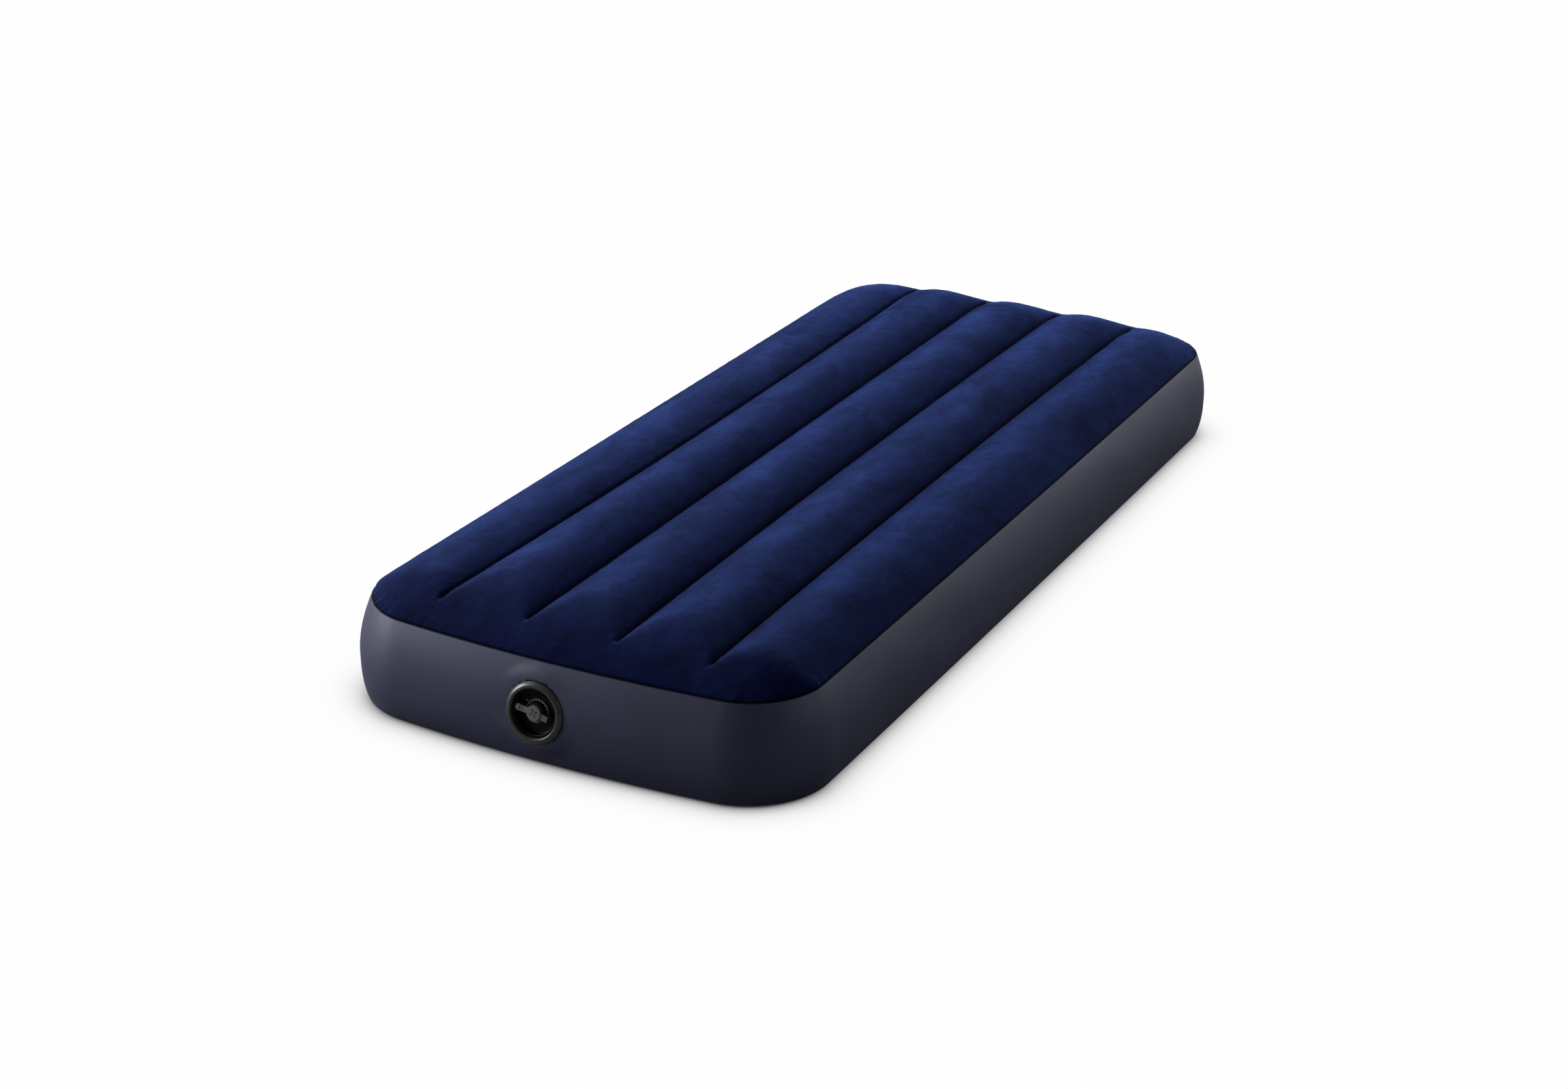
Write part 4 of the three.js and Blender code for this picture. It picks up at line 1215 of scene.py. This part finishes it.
# mean radius, width, first and last angle in degrees, centre
DISH_ARCS = (
    (0.0260, 0.0011, 62, 118, (0, 0)),
    (0.0292, 0.0009, 40, 100, (0, 0)),
    (0.0262, 0.0010, -32, 34, (0, 0)),
    (0.0058, 0.0012, 60, 250, STUD_AT),
)
for k, (r, width, a0, a1, at) in enumerate(DISH_ARCS):
    z0, z1 = DISH_Z - 0.0004, DISH_Z + 0.0011
    raised = arc_band(f"dish_arc_{k + 1}", r, width, a0, a1, z0, z1, at)
    finish_piece(raised, PLUG_BLACK, "plug", None)

# ------------------------------------------------------------------ valve: inflation cap
cap = lathe("inflation_cap_top", [
    (AXIS_R, HUB_LOW, 0),
    (HUB_R, HUB_LOW, 0.0006),
    (HUB_R, HUB_TOP, 0.0010),
    (AXIS_R, HUB_TOP, 0),
], 96)
join(cap, lathe("cap_stem", [
    (AXIS_R, HUB_LOW - 0.0077, 0),
    (0.0062, HUB_LOW - 0.0077, 0.0008),
    (0.0089, HUB_LOW + 0.0004, 0.0002),
    (AXIS_R, HUB_LOW + 0.0004, 0),
], 64))
half_disc = rounded([polar(0.0154, a) for a in np.linspace(180, 347, 36)], 0.0004, 1)
join(cap, prism("half_disc", half_disc, HUB_LOW, HUB_LOW + 0.0024, 0.0004))
tab = rounded(bar(TAB_DIR, 0.004, 0.0232, 0.0100, 0.0094), 0.0012, 5)
join(cap, prism("cap_tab", tab, *STRAP_Z, 0.0004))
strap_root = bar(PAD_DIR, 0.004, FOLD_AT - FOLD_GAP, STRAP_W, STRAP_W)
join(cap, prism("strap_root", strap_root, *STRAP_Z, 0.0002))
# an L-shaped pocket in each quarter leaves a raised cross
POCKET = (
    (-0.0019, -0.0019), (0.0019, -0.0019), (0.0019, -0.0005),
    (-0.0004, -0.0005), (-0.0004, 0.0019), (-0.0019, 0.0019),
)
for angle in (33, 123, 213, 303):
    centre = np.array(polar(0.0046, angle))
    axis_x = np.array(polar(1, angle + 35))
    axis_y = np.array((-axis_x[1], axis_x[0]))
    pocket = [centre + axis_x * x + axis_y * y for x, y in POCKET]
    cut(cap, prism("pocket", pocket, HUB_TOP - 0.0014, HUB_TOP + 0.002))
small_hole = circle(0.0012, 20, (0.0102, -0.0102))
cut(cap, prism("small_hole", small_hole, HUB_LOW - 0.001, HUB_LOW + 0.004))
finish_piece(cap, CAP_GREY, "cap", "inflation_cap")

# ------------------------------------------------------------------ valve: strap and rivet
pad_bar = bar(PAD_DIR, FOLD_AT + FOLD_GAP, 0.0272, STRAP_W, STRAP_W)
strap = prism("strap_end", pad_bar, *STRAP_Z, 0.0002)
join(strap, prism("strap_pad", circle(0.0054, 48, PAD_AT), *STRAP_Z, 0.0004))
cut(strap, prism("rivet_hole", circle(RIVET_HOLE_R, 24, PAD_AT), -0.008, 0.004))
finish_piece(strap, CAP_GREY, "plug", "cap_strap")

rivet = lathe("strap_rivet", [
    (AXIS_R, -0.0074, 0),
    (0.0014, -0.0074, 0.0002),
    (0.0014, 0.0007, 0),
    (0.0028, 0.0007, 0.0002),
    (0.0026, 0.0013, 0.0004),
    (0.0012, 0.0017, 0.0006),
    (AXIS_R, 0.00175, 0),
], 40)
rivet.data.transform(Matrix.Translation((*PAD_AT, 0)))
finish_piece(rivet, CAP_GREY, "plug", "cap_rivet")

# seal, flap and pin keep their CAD shapes, with softened edges
KEPT = (("plug_seal", SEAL_RUBBER), ("check_flap", FLAP_RUBBER), ("flap_pin", PIN_PLASTIC))
for node, material in KEPT:
    piece = FRAME["nodes"][node]
    paint(piece, material)
    soften = piece.modifiers.new("soften", "BEVEL")
    soften.width, soften.segments = 0.00018, 2
    soften.limit_method, soften.angle_limit = "ANGLE", math.radians(40)

# everything with height gets a mesh of its own
for ob in (band, bottom, *beams):
    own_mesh(ob)

# ------------------------------------------------------------------ stage
scene = bpy.context.scene
scene.view_settings.view_transform = "Standard"
scene.view_settings.look = "None"
scene.view_settings.exposure = 0
scene.view_settings.gamma = 1

BACKDROP = 0.992  # brightness of floor and world as the camera sees them
FLOOR_BOUNCE = 0.30  # reflectance of the floor for all other light
WORLD_LIGHT = 0.12
SHADOW_REACH, SHADOW_DEPTH = 0.0185, 0.97


def base_distance(nodes):
    """Distance of a floor point from the outline of the mattress's base, 0 within it."""
    half_w, half_l, r = outline_size(INSET_FLOOR + 0.006)
    math_node = nodes.math
    split = nodes.add("SeparateXYZ")
    nodes.link(nodes.add("NewGeometry").outputs["Position"], split.inputs[0])
    abs_x = math_node("ABSOLUTE", split.outputs[0])
    across = math_node("MINIMUM", math_node("DIVIDE", abs_x, half_w), 1.0)
    bow_share = math_node("SUBTRACT", 1.0, math_node("MULTIPLY", across, across))
    is_foot = math_node("LESS_THAN", split.outputs[1], 0.0)
    bow = math_node("MULTIPLY", is_foot, FOOT_BOW - HEAD_BOW)
    bow = math_node("ADD", bow, HEAD_BOW)
    abs_y = math_node("ABSOLUTE", split.outputs[1])
    abs_y = math_node("SUBTRACT", abs_y, math_node("MULTIPLY", bow, bow_share))
    over_x = math_node("SUBTRACT", abs_x, half_w - r)
    over_y = math_node("SUBTRACT", abs_y, half_l - r)
    out_x, out_y = math_node("MAXIMUM", over_x, 0.0), math_node("MAXIMUM", over_y, 0.0)
    square_x = math_node("MULTIPLY", out_x, out_x)
    square_y = math_node("MULTIPLY", out_y, out_y)
    outer = math_node("SQRT", math_node("ADD", square_x, square_y))
    inner = math_node("MINIMUM", math_node("MAXIMUM", over_x, over_y), 0.0)
    signed = math_node("SUBTRACT", math_node("ADD", outer, inner), r)
    return math_node("MAXIMUM", signed, 0.0)


def floor_material():
    """Pale floor; the camera sees it as plain light with a soft contact shadow."""
    material, nodes, shader = principled("floor_pale")
    cloud = nodes.noise(scale=2.0, detail=2, vector=nodes.coords())
    colour = nodes.spread(cloud, grey(FLOOR_BOUNCE * 0.98), grey(FLOOR_BOUNCE * 1.02))
    nodes.feed(shader, {"Base Color": colour, "Roughness": 0.9, "Specular IOR Level": 0.1})
    fade = nodes.math("DIVIDE", base_distance(nodes), -SHADOW_REACH)
    shadow = nodes.math("MULTIPLY", nodes.math("EXPONENT", fade), SHADOW_DEPTH)
    shade = nodes.math("SUBTRACT", 1.0, shadow)
    glow = nodes.add("Emission")
    nodes.feed(glow, {"Strength": nodes.math("MULTIPLY", shade, BACKDROP)})
    to_camera = nodes.add("LightPath").outputs["Is Camera Ray"]
    mixer = nodes.add("MixShader")
    nodes.feed(mixer, {0: to_camera, 1: shader.outputs[0], 2: glow.outputs[0]})
    out = next(n for n in nodes.tree.nodes if n.type == "OUTPUT_MATERIAL")
    nodes.link(mixer.outputs[0], out.inputs[0])
    return material


pale = floor_material()
HALF, FLOOR_Z = 40, -0.0004
floor_corners = [(x * HALF, y * HALF, FLOOR_Z) for x, y in ((-1, -1), (1, -1), (1, 1), (-1, 1))]
floor = make_mesh("floor", floor_corners, [(0, 1, 2, 3)], False)
paint(floor, pale)


def build_world():
    """Even light, shown brighter to the camera."""
    world = bpy.data.worlds.new("studio")
    scene.world = world
    nodes = Nodes(world)
    out, background = nodes.add("OutputWorld"), nodes.add("Background")
    to_camera = nodes.add("LightPath").outputs["Is Camera Ray"]
    extra = nodes.math("MULTIPLY", to_camera, BACKDROP - WORLD_LIGHT)
    strength = nodes.math("ADD", extra, WORLD_LIGHT)
    nodes.feed(background, {"Color": (1, 1, 1, 1), "Strength": strength})
    nodes.link(background.outputs[0], out.inputs[0])


build_world()


def turn_to(start, target):
    return (Vector(target) - Vector(start)).to_track_quat("-Z", "Y").to_euler()


MIDDLE = (0, 0, 0.1)
# name, place, aimed at, size across and up, power in watts
LIGHTS = (
    ("key_left", (-3.2, 0.4, 2.0), MIDDLE, (2.2, 3.0), 115),
    ("left_front", (-2.6, -2.6, 2.4), MIDDLE, (1.8, 1.8), 9),
    ("left_front_low", (-3.2, -2.4, 1.1), (0, -0.5, 0.1), (1.6, 1.6), 80),
    ("back_left", (-2.5, 3.6, 2.4), MIDDLE, (2.4, 2.4), 34),
    ("back_high", (0, 3.5, 3.5), MIDDLE, (2.5, 2.5), 26),
    ("back_right", (2.2, 4.6, 1.6), MIDDLE, (2.5, 2.5), 72),
    ("right", (3.5, 0, 1.5), MIDDLE, (2.0, 2.0), 14.5),
)
for name, at, target, size, power in LIGHTS:
    light = bpy.data.lights.new(name, "AREA")
    light.shape = "RECTANGLE"
    light.size, light.size_y = size
    light.energy = power
    lamp = bpy.data.objects.new(name, light)
    lamp.location = at
    lamp.rotation_euler = turn_to(at, target)
    scene.collection.objects.link(lamp)

# Camera: its bearing from -Y towards +X, height angle, roll and distance from its target.
BEARING, ELEVATION, ROLL = (math.radians(a) for a in (26.2875, 23.4005, 1.3981))
DISTANCE = 4.611
TARGET = Vector((0.0344, -0.2470, 0.10))
back = Vector((
    math.sin(BEARING) * math.cos(ELEVATION),
    -math.cos(BEARING) * math.cos(ELEVATION),
    math.sin(ELEVATION),
))
level_right = (-back).cross(Vector((0, 0, 1))).normalized()
level_up = level_right.cross(-back)
right = level_right * math.cos(ROLL) + level_up * math.sin(ROLL)
up = -level_right * math.sin(ROLL) + level_up * math.cos(ROLL)
lens = bpy.data.cameras.new("camera")
lens.sensor_fit = "HORIZONTAL"
lens.sensor_width = 36
lens.lens = 63.96282
lens.clip_end = 200
camera = bpy.data.objects.new("camera", lens)
camera.matrix_world = Matrix((right, up, back)).transposed().to_4x4()
camera.location = TARGET + back * DISTANCE
scene.collection.objects.link(camera)
scene.camera = camera

bpy.context.view_layer.update()
